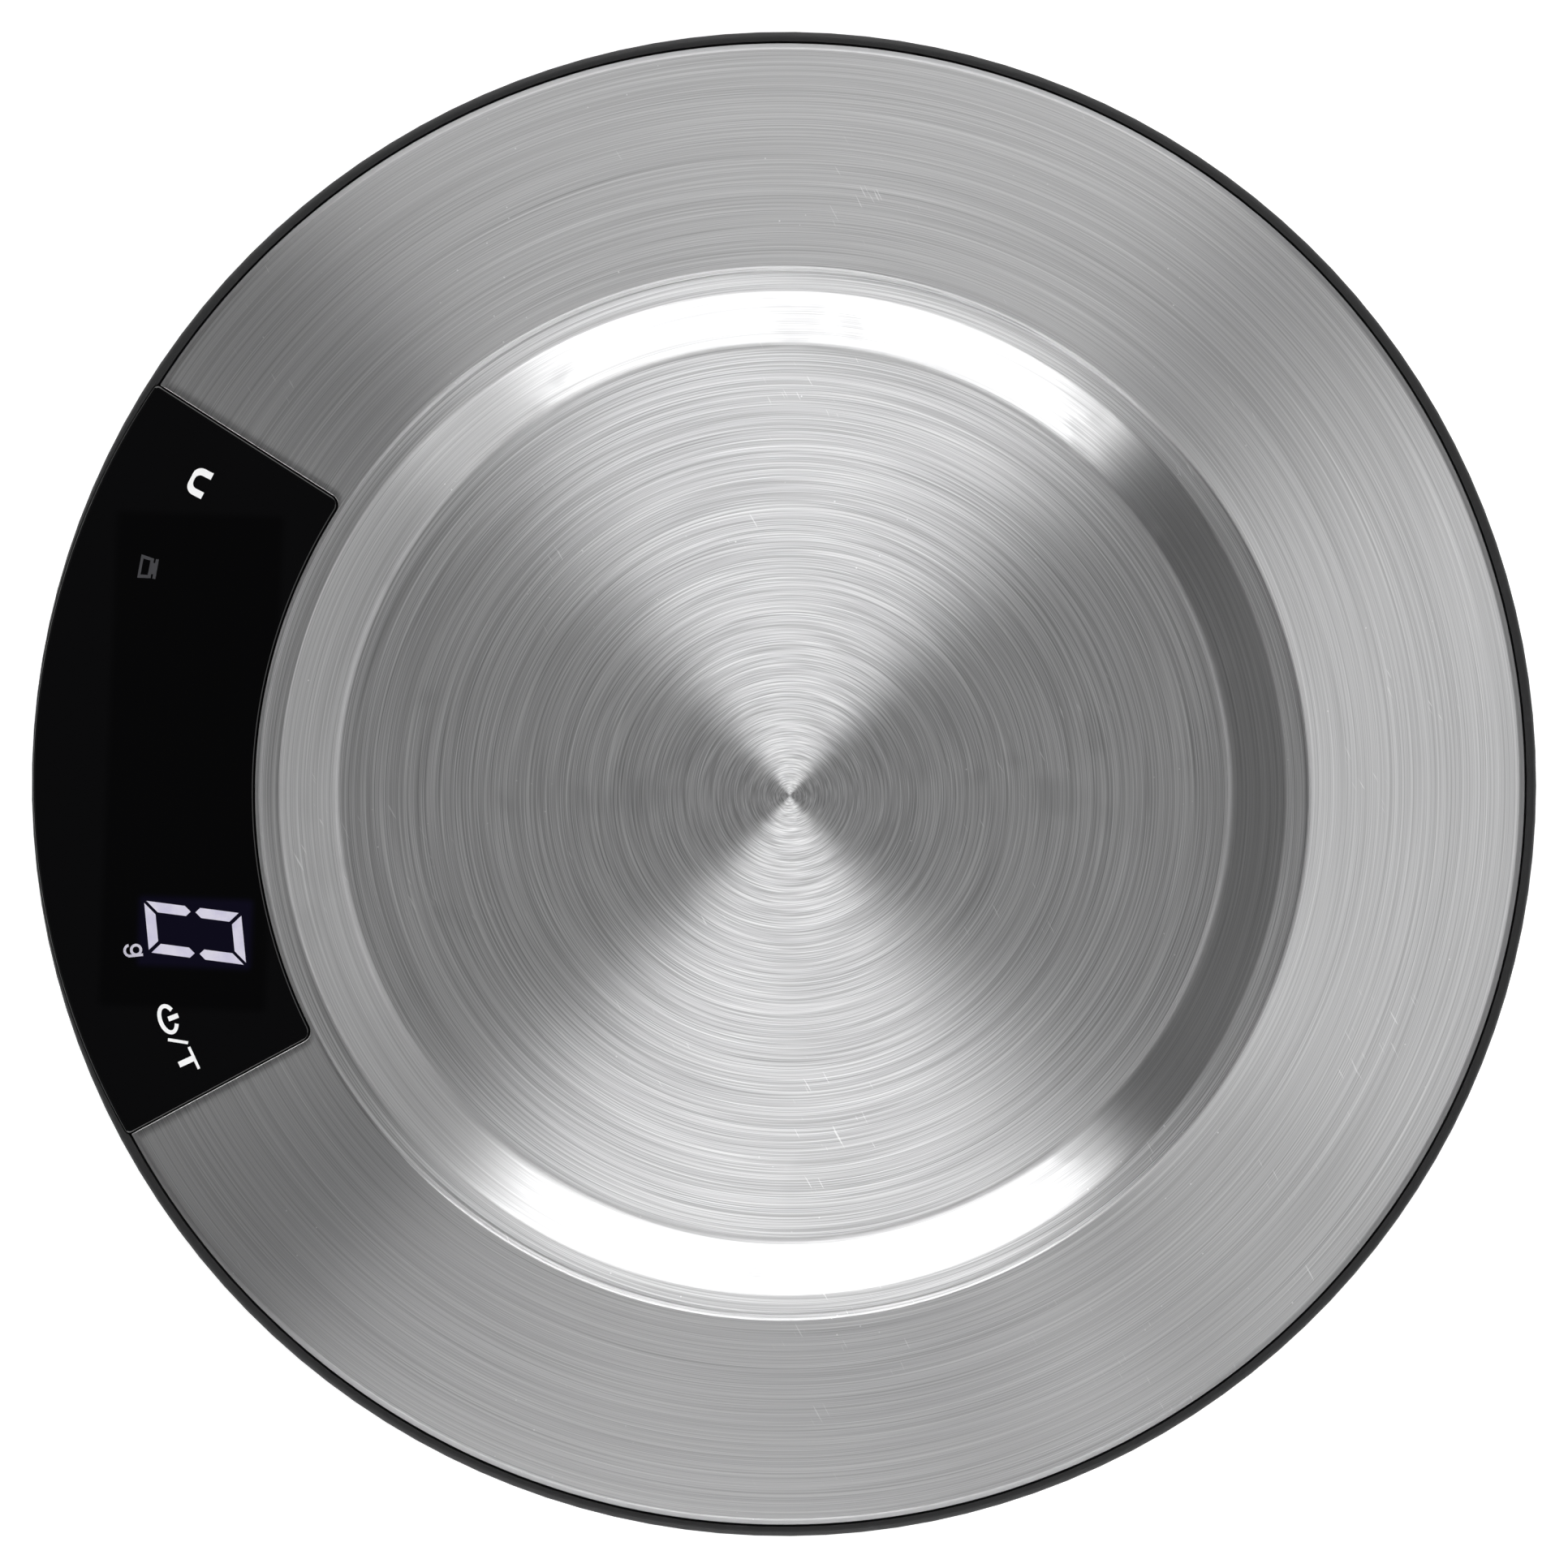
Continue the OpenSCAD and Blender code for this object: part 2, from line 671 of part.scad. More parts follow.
module touch_springs() {
    h = cover_z(key_r + spring_d / 2) - panel_drop - panel_t - board_top_z - 0.02;
    color([0.75, 0.75, 0.78])
        for (s = [-1, 1]) key_place(s * key_angle) translate([0, 0, board_top_z + 0.01]) coil_spring(h);
}

// Pan-head screw with its head's underside at z = 0 and its thread rising
module screw(d, len, head_d, head_h) {
    difference() {
        union() {
            cylinder(d = d, h = len, $fn = 32);
            translate([0, 0, -head_h]) cylinder(d = head_d, h = head_h, $fn = 48);
        }
        for (a = [0, 90]) rotate(a)
            translate([-head_d * 0.28, -0.35, -head_h - eps]) cube([head_d * 0.56, 0.7, head_h * 0.55]);
    }
}

module board_screws() {
    color([0.7, 0.7, 0.72]) for (p = board_screw_spots)
        translate([p[0], p[1], board_z]) screw(small_screw_d, board_screw_len, small_head_d, small_head_h);
}

// ---------- housings ----------

module dish_pan() {
    face = dish_face(deck_drop, deck_drop);
    back = dish_face(deck_drop + deck_t, deck_drop + deck_t * 0.6);
    brim_z = cover_z(brim_r + dish_shift + 1.3) - deck_drop - 0.05;
    step = step_r + deck_drop + 0.1;
    rotate_extrude($fn = 128)
        polygon(concat([for (i = [0:4]) face[i]], [[step, face[5][1]], [step, brim_z],
            [brim_r, brim_z], [brim_r, brim_z - deck_t], [step, brim_z - deck_t]],
            [for (i = [4:-1:0]) back[i]]));
}

module rim_wall() {
    inner_top = cover_r + skirt_gap;
    inner = body_r - wall_t;
    rim_z = roll_z - roll_r * 0.85;
    round_r = 0.8;
    rotate_extrude($fn = 192)
        polygon(concat([[inner, split_z], [body_r, split_z]],
            arc([body_r - round_r, rim_z - round_r], round_r, 0, 90, 6),
            [[inner_top, rim_z], [inner_top, groove_z], [groove_r, groove_z],
            [groove_r, groove_z - deck_t], [inner, groove_z - deck_t]]));
}

// Room for the cover's skirt, left in the seat beside the panel
module skirt_groove() {
    difference() {
        translate([0, 0, groove_z]) cylinder(r = cover_r + skirt_gap, h = far);
        translate([0, 0, groove_z - 1]) cylinder(r = groove_r, h = far);
        linear_extrude(far) panel_outline(0);
    }
}

module upper_bosses() {
    pilot_depth = 7.6;
    for (p = screw_spots) translate([p[0], p[1], column_top]) difference() {
        cylinder(d = boss_d, h = cover_z(screw_ring_r) - seat_drop - column_top - 0.2, $fn = 48);
        translate([0, 0, -eps]) cylinder(d = screw_d + 2 * pilot_gap, h = pilot_depth, $fn = 32);
    }
}

module board_posts() {
    for (p = board_screw_spots) translate([p[0], p[1], board_top_z]) difference() {
        cylinder(d = board_post_d, h = cover_z(norm(p)) - seat_drop - board_top_z - 0.2, $fn = 32);
        translate([0, 0, -eps]) cylinder(d = small_screw_d + 2 * pilot_gap, h = board_post_hole, $fn = 24);
    }
}

module upper_housing() {
    seat_margin = 1.6;
    color([0.09, 0.09, 0.095]) union() {
        difference() {
            union() {
                rim_wall();
                difference() {
                    cone_band(deck_drop, deck_drop + deck_t, brim_r - 1.2, roll_top_r - 0.3);
                    translate([dish_c[0], dish_c[1], 0]) cylinder(r = brim_r - 1.5, h = far);
                }
                translate([dish_c[0], dish_c[1], 0]) dish_pan();
                intersection() {
                    cone_band(seat_drop, seat_drop + seat_t, disc_r, body_r - eps);
                    linear_extrude(far) panel_outline(-seat_margin);
                    difference() {
                        cylinder(r = body_r - eps, h = far);
                        translate([dish_c[0], dish_c[1], 0]) cylinder(r = crest_r - 0.5, h = far);
                        skirt_groove();
                    }
                }
            }
            panel_slab(-5, seat_drop) panel_outline(0);
            translate([0, 0, -eps]) linear_extrude(far) seat_openings(0.4);
            // room for the battery bay's roof under the deck
            bay_block(bay_wall + bay_clear, 0, bay_roof + bay_roof_t + bay_clear);
        }
        upper_bosses();
        board_posts();
    }
}

module tray_profile() {
    rise = split_z - split_gap;
    rotate_extrude($fn = 192) polygon([
        [0, floor_z], [tray_flat_r, floor_z], [tray_r - tray_turn[0], floor_z + tray_turn[1]],
        [tray_r, floor_z + tray_turn_h],
        [tray_r, rise], [lip_out_r, rise], [lip_out_r, rise + lip_h], [lip_out_r - lip_t, rise + lip_h],
        [lip_out_r - lip_t, floor_top + 1], [lip_out_r - lip_t - 1, floor_top], [0, floor_top]]);
}

module bay_block(grow, z0, z1) {
    translate([-bay_len / 2 - grow, bay_y - grow, z0]) cube([bay_len + 2 * grow, bay_w + 2 * grow, z1 - z0]);
}

module tray_columns() {
    for (p = screw_spots) translate([p[0], p[1], floor_z + eps])
        cylinder(d = column_d, h = column_top - floor_z - eps, $fn = 48);
    for (c = foot_spots) for (sx = [-1, 1]) for (sy = [-1, 1])
        translate([c[0] + sx * post_off, c[1] + sy * post_off, floor_z + eps])
            cylinder(d = post_d, h = cell_z - floor_z - eps, $fn = 32);
}

// Screw posts use the two corners on one diagonal of each load cell
function cell_screw_spots(c) =
    [for (s = [-1, 1]) [c[0] + s * post_off, c[1] + s * post_off * sign(c[0] * c[1])]];

module tray_holes() {
    for (p = screw_spots) translate([p[0], p[1], 0]) {
        translate([0, 0, -eps]) cylinder(d = screw_head_d + 1, h = head_z + head_h + eps, $fn = 48);
        cylinder(d = screw_d + 0.4, h = far, $fn = 32);
    }
    for (c = foot_spots) {
        translate([c[0], c[1], -eps]) cylinder(d = foot_d + 2 * foot_gap, h = floor_top + 2 * eps);
        for (p = cell_screw_spots(c))
            translate([p[0], p[1], cell_z - 3.4]) cylinder(d = small_screw_d + 2 * pilot_gap, h = 4, $fn = 24);
    }
    bay_block(0, 0, bay_roof);
    translate([-door_len / 2 - door_gap, door_y0 - door_gap, 0])
        cube([door_len + 2 * door_gap, door_y1 - door_y0 + 2 * door_gap, door_top + 0.1]);
    // notches for the door's hooks, over the floor's edge and through the bay's wall
    for (s = [-1, 1]) translate([s * tab_x - tab_w / 2 - 0.4, 0, 0]) {
        translate([0, hinge_y - 4.2, floor_top]) cube([tab_w + 0.8, 4.2, 5]);
        translate([0, hinge_y - eps, door_top])
            cube([tab_w + 0.8, bay_y - hinge_y + 2 * eps, 5 + floor_top - door_top]);
    }
    // exits for the battery leads
    for (y = [battery_inner_y, battery_outer_y]) translate([-bay_len / 2 - bay_wall - 1, y, battery_z - 2.6])
        rotate([0, 90, 0]) cylinder(d = battery_lead_d + 0.4, h = bay_wall + 2, $fn = 24);
    // finger notch beside the door's latch
    translate([0, door_y1 + door_gap + 1.2, floor_z - 0.32 * finger_d]) sphere(d = finger_d, $fn = 48);
}

module lower_housing() {
    color([0.08, 0.08, 0.085]) difference() {
        union() {
            tray_profile();
            bay_block(bay_wall, floor_z + eps, bay_roof + bay_roof_t);
            tray_columns();
            // thick floor under the finger notch
            translate([-8, door_y1 - 0.5, floor_z + eps]) cube([16, 4.4, floor_t + 1.6]);
        }
        tray_holes();
    }
}

module battery_door() {
    slit = 0.6;
    tongue = 12;
    color([0.09, 0.09, 0.095]) {
        difference() {
            translate([-door_len / 2, door_y0, floor_z]) cube([door_len, door_y1 - door_y0, door_t]);
            // slits that free the latch tongue
            for (s = [-1, 1]) translate([s * (tongue / 2 + slit / 2) - slit / 2, door_y1 - 7, 0])
                cube([slit, 8, far]);
            translate([-tongue / 2 + 1, door_y1 - 6, floor_z - eps]) cube([tongue - 2, 0.8, 0.6]);
            // grip grooves
            for (i = [0:4]) translate([-tongue / 2 + 1.5, door_y1 - 4.6 + i * 0.9, floor_z - eps])
                cube([tongue - 3, 0.4, 0.3]);
        }
        for (s = [-1, 1]) {
            translate([s * tab_x - tab_w / 2, door_y0, door_top - eps])
                cube([tab_w, 1.4, floor_top + 0.1 + tab_t - door_top]);
            translate([s * tab_x - tab_w / 2, hinge_y - 2.6, floor_top + 0.1])
                cube([tab_w, door_y0 - hinge_y + 3.4, tab_t]);
        }
    }
}

// ---------- feet and load cells ----------

module foot(c) {
    base = pad_t - pad_pocket;
    spigot_top = cell_z + cell_t + 0.4;
    color([0.1, 0.1, 0.105]) translate([c[0], c[1], 0]) difference() {
        union() {
            rotate_extrude() polygon([[0, base], [foot_d / 2 - 1, base], [foot_d / 2, base + 1],
                [foot_d / 2, foot_top - 0.4], [foot_d / 2 - 0.4, foot_top], [stem_d / 2, foot_top],
                [stem_d / 2, cell_z], [spigot_d / 2, cell_z], [spigot_d / 2, spigot_top], [0, spigot_top]]);
            for (a = [0:60:300]) rotate(a) translate([0, -0.5, foot_top - eps]) cube([7, 1, 2.2]);
        }
        translate([0, 0, -eps]) cylinder(d = pad_d + 0.1, h = pad_t + eps);
    }
}

module foot_pad(c) {
    color([0.25, 0.25, 0.26]) translate([c[0], c[1], 0])
        rotate_extrude()
            polygon([[0, 0], [pad_d / 2 - 0.5, 0], [pad_d / 2, 0.5], [pad_d / 2, pad_t], [0, pad_t]]);
}

// Plate with a U-shaped slot; the tongue inside it rests on the foot
module load_cell(c) {
    inner = cell_w / 2 - frame_w;
    color([0.6, 0.6, 0.62]) translate([c[0], c[1], cell_z]) difference() {
        translate([-cell_w / 2, -cell_w / 2, 0]) cube([cell_w, cell_w, cell_t]);
        for (s = [-1, 1]) translate([s * (tongue_w / 2 + slot_w / 2) - slot_w / 2, -inner, -1])
            cube([slot_w, 2 * inner, cell_t + 2]);
        translate([-tongue_w / 2 - slot_w, -inner, -1]) cube([tongue_w + 2 * slot_w, slot_w, cell_t + 2]);
        translate([0, 0, -1]) cylinder(d = spigot_d + 2 * spigot_gap, h = cell_t + 2, $fn = 32);
        for (p = cell_screw_spots(c))
            translate([p[0] - c[0], p[1] - c[1], -1]) cylinder(d = small_screw_d + 0.3, h = cell_t + 2, $fn = 24);
    }
}

// Foil gauge with its coating, across the root of the tongue
module strain_gauge(c) {
    color([0.7, 0.5, 0.15]) translate([c[0], c[1], cell_z + cell_t]) {
        translate([-3.5, 4, 0]) cube([7, 4.6, 0.25]);
        translate([0, 6.3, 0.25]) intersection() {
            translate([0, 0, -3.2]) sphere(r = 4, $fn = 48);
            translate([-3.2, -2, 0]) cube([6.4, 4, 1]);
        }
    }
}

module load_cell_screws() {
    color([0.7, 0.7, 0.72]) for (c = foot_spots) for (p = cell_screw_spots(c))
        translate([p[0], p[1], cell_z + cell_t]) rotate([180, 0, 0])
            screw(small_screw_d, 5, small_head_d, small_head_h);
}

lead_d = 1.8;
// Lead from a load cell, over its plate's edge, along the floor and up to the board
module cell_lead(c, lane) {
    sx = sign(c[0]);
    top = cell_z + cell_t + lead_d / 2 + 0.35;
    low = floor_top + lead_d / 2;
    edge = c[0] - sx * (cell_w / 2 + 2);
    pad_y = board_in_r + 2.5;
    color([0.75, 0.75, 0.72]) wire([[c[0] - sx * 3.5, c[1] + 6.3, top], [edge, c[1] + 6.3, top],
        [edge, c[1] + 6.3, low], [sx * lane, c[1] - 4, low], [sx * lane, 6.5 - pad_y, low],
        [sx * lane, -pad_y, low], [sx * lane, -pad_y, board_z]], lead_d);
}

// ---------- power ----------

module battery(y, dir) {
    start = [-dir * (battery_len + tip_len) / 2, y, battery_z];
    color([0.2, 0.35, 0.6]) translate(start) rotate([0, dir * 90, 0]) {
        cylinder(d = battery_d, h = battery_len, $fn = 64);
        cylinder(d = tip_d, h = battery_len + tip_len, $fn = 32);
    }
}

// Flat spring plate against the bay's end wall, with a bowed finger towards the cell
module end_plate(x, y, dir) {
    finger = (bay_len - battery_len - tip_len) / 2 - contact_t - 0.05;
    root = dir * (contact_t - eps);
    front_x = dir * (contact_t + finger);
    back_x = dir * (contact_t + finger - 0.4);
    w = 7;
    translate([x, y, battery_z]) {
        translate([dir > 0 ? 0 : -contact_t, -w / 2, -4]) cube([contact_t, w, 8]);
        rotate([90, 0, 0]) translate([0, 0, -2]) linear_extrude(4)
            polygon([[root, -3.6], [front_x, -0.6], [front_x, 0.6], [root, 3.6],
                [root, 3], [back_x, 0.4], [back_x, -0.4], [root, -3]]);
    }
}

module terminal_plus() {
    color([0.8, 0.78, 0.7]) end_plate(-bay_len / 2, battery_inner_y, 1);
}

module terminal_minus() {
    color([0.8, 0.78, 0.7]) end_plate(-bay_len / 2, battery_outer_y, 1);
}

module bridge_contact() {
    color([0.8, 0.78, 0.7]) {
        end_plate(bay_len / 2, battery_inner_y, -1);
        end_plate(bay_len / 2, battery_outer_y, -1);
        translate([bay_len / 2 - contact_t, battery_inner_y, battery_z + 1])
            cube([contact_t, battery_outer_y - battery_inner_y, 3]);
    }
}

module battery_lead(y, lane) {
    low = floor_top + battery_lead_d / 2;
    out_x = -bay_len / 2 - bay_wall - 2 - (y - battery_inner_y) / 4;
    tap = battery_z - 2.6;
    turn_y = hinge_y - 7 - (y - battery_inner_y) / 3;
    pad_y = board_in_r + 8;
    wire([[-bay_len / 2, y, tap], [out_x, y, tap], [out_x, y, low], [out_x, turn_y, low],
        [-lane, turn_y - 6, low], [-lane, -pad_y, low], [-lane, -pad_y, board_z]], battery_lead_d);
}

module housing_screws() {
    color([0.6, 0.6, 0.62]) for (p = screw_spots)
        translate([p[0], p[1], head_z + head_h]) screw(screw_d, screw_len, screw_head_d, head_h);
}

steel_cover();
cover_tape();
upper_housing();
lower_housing();
control_panel();
panel_tape();
lit_digit();
lit_unit_sign();
idle_volume_sign();
key_legends();
display_module();
main_board();
controller_chip();
board_parts();
touch_springs();
board_screws();
foot(foot_spots[0]);  // foot_front_left
foot(foot_spots[1]);  // foot_front_right
foot(foot_spots[2]);  // foot_rear_left
foot(foot_spots[3]);  // foot_rear_right
foot_pad(foot_spots[0]);  // pad_front_left
foot_pad(foot_spots[1]);  // pad_front_right
foot_pad(foot_spots[2]);  // pad_rear_left
foot_pad(foot_spots[3]);  // pad_rear_right
load_cell(foot_spots[0]);  // load_cell_front_left
load_cell(foot_spots[1]);  // load_cell_front_right
load_cell(foot_spots[2]);  // load_cell_rear_left
load_cell(foot_spots[3]);  // load_cell_rear_right
strain_gauge(foot_spots[0]);  // strain_gauge_front_left
strain_gauge(foot_spots[1]);  // strain_gauge_front_right
strain_gauge(foot_spots[2]);  // strain_gauge_rear_left
strain_gauge(foot_spots[3]);  // strain_gauge_rear_right
load_cell_screws();
cell_lead(foot_spots[0], 20);  // cell_lead_front_left
cell_lead(foot_spots[1], 20);  // cell_lead_front_right
cell_lead(foot_spots[2], 14);  // cell_lead_rear_left
cell_lead(foot_spots[3], 14);  // cell_lead_rear_right
battery(battery_inner_y, -1);  // battery_inner
battery(battery_outer_y, 1);  // battery_outer
terminal_plus();
terminal_minus();
bridge_contact();
color("red") battery_lead(battery_inner_y, 5);  // battery_lead_plus
color([0.1, 0.1, 0.1]) battery_lead(battery_outer_y, 8);  // battery_lead_minus
battery_door();
housing_screws();
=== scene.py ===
"""Looks of the round kitchen scale: brushed steel cover with a dish, glossy touch panel, black housing.

Lengths are in metres in the part's own frame: +Z up, the panel towards -Y, the battery bay towards +Y.
"""
import json
import math

import bmesh
import bpy
import numpy as np
from mathutils import Matrix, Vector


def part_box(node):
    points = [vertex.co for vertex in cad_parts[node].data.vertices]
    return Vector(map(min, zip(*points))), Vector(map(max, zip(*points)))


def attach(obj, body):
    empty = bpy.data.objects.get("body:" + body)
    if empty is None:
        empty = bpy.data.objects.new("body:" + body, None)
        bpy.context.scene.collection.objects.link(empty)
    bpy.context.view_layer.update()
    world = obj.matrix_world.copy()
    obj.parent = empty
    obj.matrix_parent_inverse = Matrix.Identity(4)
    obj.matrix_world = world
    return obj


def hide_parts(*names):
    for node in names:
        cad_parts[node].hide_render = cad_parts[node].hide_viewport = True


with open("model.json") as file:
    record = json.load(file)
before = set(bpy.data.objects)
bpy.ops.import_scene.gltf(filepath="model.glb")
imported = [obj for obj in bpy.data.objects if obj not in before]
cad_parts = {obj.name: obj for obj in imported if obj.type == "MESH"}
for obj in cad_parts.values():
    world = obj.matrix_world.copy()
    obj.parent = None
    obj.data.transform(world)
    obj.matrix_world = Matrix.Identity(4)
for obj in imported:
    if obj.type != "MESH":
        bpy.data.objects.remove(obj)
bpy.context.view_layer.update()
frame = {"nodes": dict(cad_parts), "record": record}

MM = 0.001
BODY = "scale_body"
CORNERS = ["front_left", "front_right", "rear_left", "rear_right"]

# ---------- sizes, worked out from the frame ----------

mounts = {m["name"]: m["pos_m"] for m in frame["record"]["mounts"]}
cover_low, cover_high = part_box("steel_cover")
housing_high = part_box("upper_housing")[1]

body_r = housing_high.y
cover_r = cover_high.y
crest_z = cover_high.z
skirt_z = cover_low.z
dish_c = np.array(mounts["dish_floor"][:2])
disc_z = mounts["dish_floor"][2]

# sizes that the boxes don't give, as the part's source states them
steel_t = 0.6 * MM
ring_w = 30.1 * MM
shoulder_w = 3.2 * MM
band_w = 6.8 * MM
step_h = 0.5 * MM
bead_h = 0.08 * MM
bead_r = 0.25 * MM
roll_r = 0.9 * MM
slope = math.radians(3.2)
panel_half = math.radians(30.4)
panel_gap = 0.15 * MM
panel_t = 1.5 * MM
panel_drop = 0.2 * MM
panel_corner = 1.45 * MM
panel_arc_r = 93.7 * MM
panel_rim_gap = 0.1 * MM
spring_d = 7 * MM
spring_wire = 0.6 * MM
spring_turns = 4

# sizes of the finer pieces alone
edge_r = 0.12 * MM          # rounding along the edge of the cut-out
disc_round = 2.4 * MM       # fold between the disc and the band
shoulder_round = 1.4 * MM   # fold between the band and the shoulder
crest_in = 0.3 * MM         # how far the crest's corner lies inside crest_r
crest_w = 0.28 * MM         # width of the crest's inner slope
crest_h = 0.03 * MM         # height of the crest's corner over crest_z before it is rounded
crest_foot = 0.04 * MM      # how far the crest's outer foot lies outside crest_r
crest_rounds = np.array([0.1, 0.16, 0.1]) * MM    # folds at the crest's inner foot, top and outer foot
dense_w = 2.6 * MM          # width of the ring's dense rows, along the dish
glide_from = 74 * MM        # where the ring's rows start to glide to the housing's axis
glide_w = 16 * MM
face_sink = 0.02 * MM       # how far the panel's face lies below the marks' faces
bevel_w = 0.34 * MM         # the bevel around the panel's face, a quarter of an ellipse
bevel_h = 0.2 * MM
brush_shift = np.array([0.3, 0.84]) * MM      # from the dish's middle to that of its brushing
ring_brush_c = np.array([0.2, 0.2]) * MM      # middle of the ring's brushing
groove_at = (0.3, 0.48, 0.66, 0.84)           # radii of a pad's grooves, over the pad's own
groove_w = 0.7 * MM
groove_top_w = 0.55 * groove_w
groove_h = 0.35 * MM
groove_round = 0.12 * MM
sole_round = 0.45 * MM
pad_top_round = 0.25 * MM

crest_r = body_r - ring_w
shoulder_r = crest_r - shoulder_w
disc_r = shoulder_r - band_w
shoulder_z = crest_z - step_h
open_r = crest_r + bead_r
roll_top_r = cover_r - roll_r
panel_arc_c = np.array([0, panel_rim_gap + panel_arc_r - body_r])
brush_c = dish_c + brush_shift
face_drop = panel_drop + face_sink
panel_mid = np.array([0, -0.85 * body_r])


def cover_height(r):
    """Height of the cover's outer ring at distance r from the housing's axis: a cone that falls outwards."""
    return crest_z - bead_h - (r - crest_r) * math.tan(slope)


# ---------- mesh helpers ----------

def unit(angle):
    """Unit vectors in the plan at the given angles."""
    return np.stack([np.cos(angle), np.sin(angle)], axis=-1)


def raised(plan, z):
    """Plan points and their heights as points in space."""
    return np.concatenate([plan, np.broadcast_to(z, plan.shape[:-1])[..., None]], axis=-1)


def faces_of(rows, columns, closed, start):
    """Faces between neighbouring rows and columns of a grid whose first vertex is start."""
    i, j = np.meshgrid(np.arange(rows - 1), np.arange(columns if closed else columns - 1), indexing="ij")
    k = (j + 1) % columns
    corners = [i * columns + j, i * columns + k, (i + 1) * columns + k, (i + 1) * columns + j]
    return np.stack(corners, axis=-1).reshape(-1, 4) + start


def piece(name, grids, material, body=BODY, centre=None, sharp=40):
    """One mesh from grids of points, each with a flag that says whether its columns close on themselves.

    The grids are welded where their edges meet and the normals turned outwards. Edges sharper than
    sharp degrees stay crisp. centre places the middle about which a brushed finish runs.
    """
    points, faces, count = [], [], 0
    for grid, closed in grids:
        points.append(grid.reshape(-1, 3))
        faces.append(faces_of(*grid.shape[:2], closed, count))
        count += len(points[-1])
    mesh = bpy.data.meshes.new(name)
    mesh.from_pydata(np.concatenate(points), [], np.concatenate(faces))
    work = bmesh.new()
    work.from_mesh(mesh)
    bmesh.ops.remove_doubles(work, verts=work.verts, dist=0.0004 * MM)
    bmesh.ops.recalc_face_normals(work, faces=work.faces)
    work.to_mesh(mesh)
    work.free()
    mesh.polygons.foreach_set("use_smooth", np.ones(len(mesh.polygons), bool))
    mesh.set_sharp_from_angle(angle=math.radians(sharp))
    mesh.materials.append(material)
    if centre is not None:
        mesh.use_auto_texspace = False
        mesh.texspace_location = (centre[0], centre[1], 0)
        mesh.texspace_size = (body_r, body_r, body_r)
    made = bpy.data.objects.new(name, mesh)
    bpy.context.scene.collection.objects.link(made)
    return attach(made, body)


def eased(corners, radii, steps=6, guard=0.06 * MM):
    """Profile through corner points in which each inner corner is an arc of its radius.

    Each arc is tangent to both lines. A guard point before and after it keeps the flat stretches flat
    when the shading is smoothed.
    """
    corners = np.asarray(corners, float)
    out = [corners[:1]]
    for before, at, after, radius in zip(corners, corners[1:], corners[2:], radii):
        a, b = before - at, after - at
        a, b = a / np.linalg.norm(a), b / np.linalg.norm(b)
        half = math.acos(np.clip(a @ b, -1, 1)) / 2
        reach = radius / math.tan(half)
        middle = at + (a + b) / np.linalg.norm(a + b) * radius / math.sin(half)
        spokes = np.stack([at + a * reach - middle, at + b * reach - middle])
        t = np.linspace(0, 1, steps + 1)[:, None]
        turn = math.pi - 2 * half
        arc = (np.sin((1 - t) * turn) * spokes[0] + np.sin(t * turn) * spokes[1]) / math.sin(turn)
        out += [at[None] + a * (reach + guard), middle + arc, at[None] + b * (reach + guard)]
    return np.concatenate(out + [corners[-1:]])


def lathe(profile, centre, columns=96):
    """Grid of a profile of (radius, height) points turned about an upright axis through centre."""
    angle = np.linspace(0, 2 * math.pi, columns, endpoint=False)
    plan = np.asarray(centre)[:2] + profile[:, :1, None] * unit(angle)[None]
    return raised(plan, profile[:, 1:2])


def tube(path, radius, sides):
    """Grids of a round tube along a path: rings square to the path, and a cap on each end.

    The rings' first direction is square to the path and to one slanted line, so that the tube doesn't twist.
    """
    path = np.asarray(path, float)
    along = np.gradient(path, axis=0)
    along /= np.linalg.norm(along, axis=1, keepdims=True)
    first = np.cross(along, [0.31, 0.17, 0.94])
    first /= np.linalg.norm(first, axis=1, keepdims=True)
    second = np.cross(along, first)
    angle = np.linspace(0, 2 * math.pi, sides, endpoint=False)[None, :, None]
    rings = path[:, None] + radius * (np.cos(angle) * first[:, None] + np.sin(angle) * second[:, None])
    caps = [np.stack([np.broadcast_to(path[end], rings[end].shape), rings[end]]) for end in (0, -1)]
    return [(rings, True), (caps[0], True), (caps[1], True)]


# ---------- the steel cover ----------

MAIN_COLUMNS = 372
FRONT_COLUMNS = 76


def cut_side(rho, share, mirror):
    """Where each row of the ring, a circle of radius rho, meets the edge of the panel's cut-out.

    A row's centre is the dish's axis times share. The edge is a line through the housing's axis, with a
    rounding where it meets the dish, and is found edge_r inside the steel. Returns angles and inward normals
    on the +X side, or mirrored for the other side.
    """
    axis = dish_c * [mirror, 1]
    beta = panel_half - math.pi / 2
    u, n = unit(beta), unit(beta + math.pi / 2)
    f, big = panel_corner, open_r + panel_corner
    along = u @ axis + math.sqrt(big ** 2 - (n @ axis + f) ** 2)
    middle = along * u - f * n
    to_middle = middle - axis
    spread = np.arccos(np.clip((rho ** 2 + big ** 2 - (f + edge_r) ** 2) / (2 * rho * big), -1, 1))
    on_round = math.atan2(to_middle[1], to_middle[0]) + spread
    on_line = beta + np.arcsin((edge_r - share * (n @ axis)) / rho)
    round_end = np.linalg.norm(along * u + edge_r * n - axis)
    rounded = rho < round_end
    angle = np.where(rounded, on_round, on_line)
    from_middle = axis + rho[:, None] * unit(angle) - middle
    from_middle /= np.linalg.norm(from_middle, axis=1, keepdims=True)
    normal = np.where(rounded[:, None], from_middle, n)
    if mirror < 0:
        angle, normal = math.pi - angle, normal * [-1, 1]
    return angle, normal


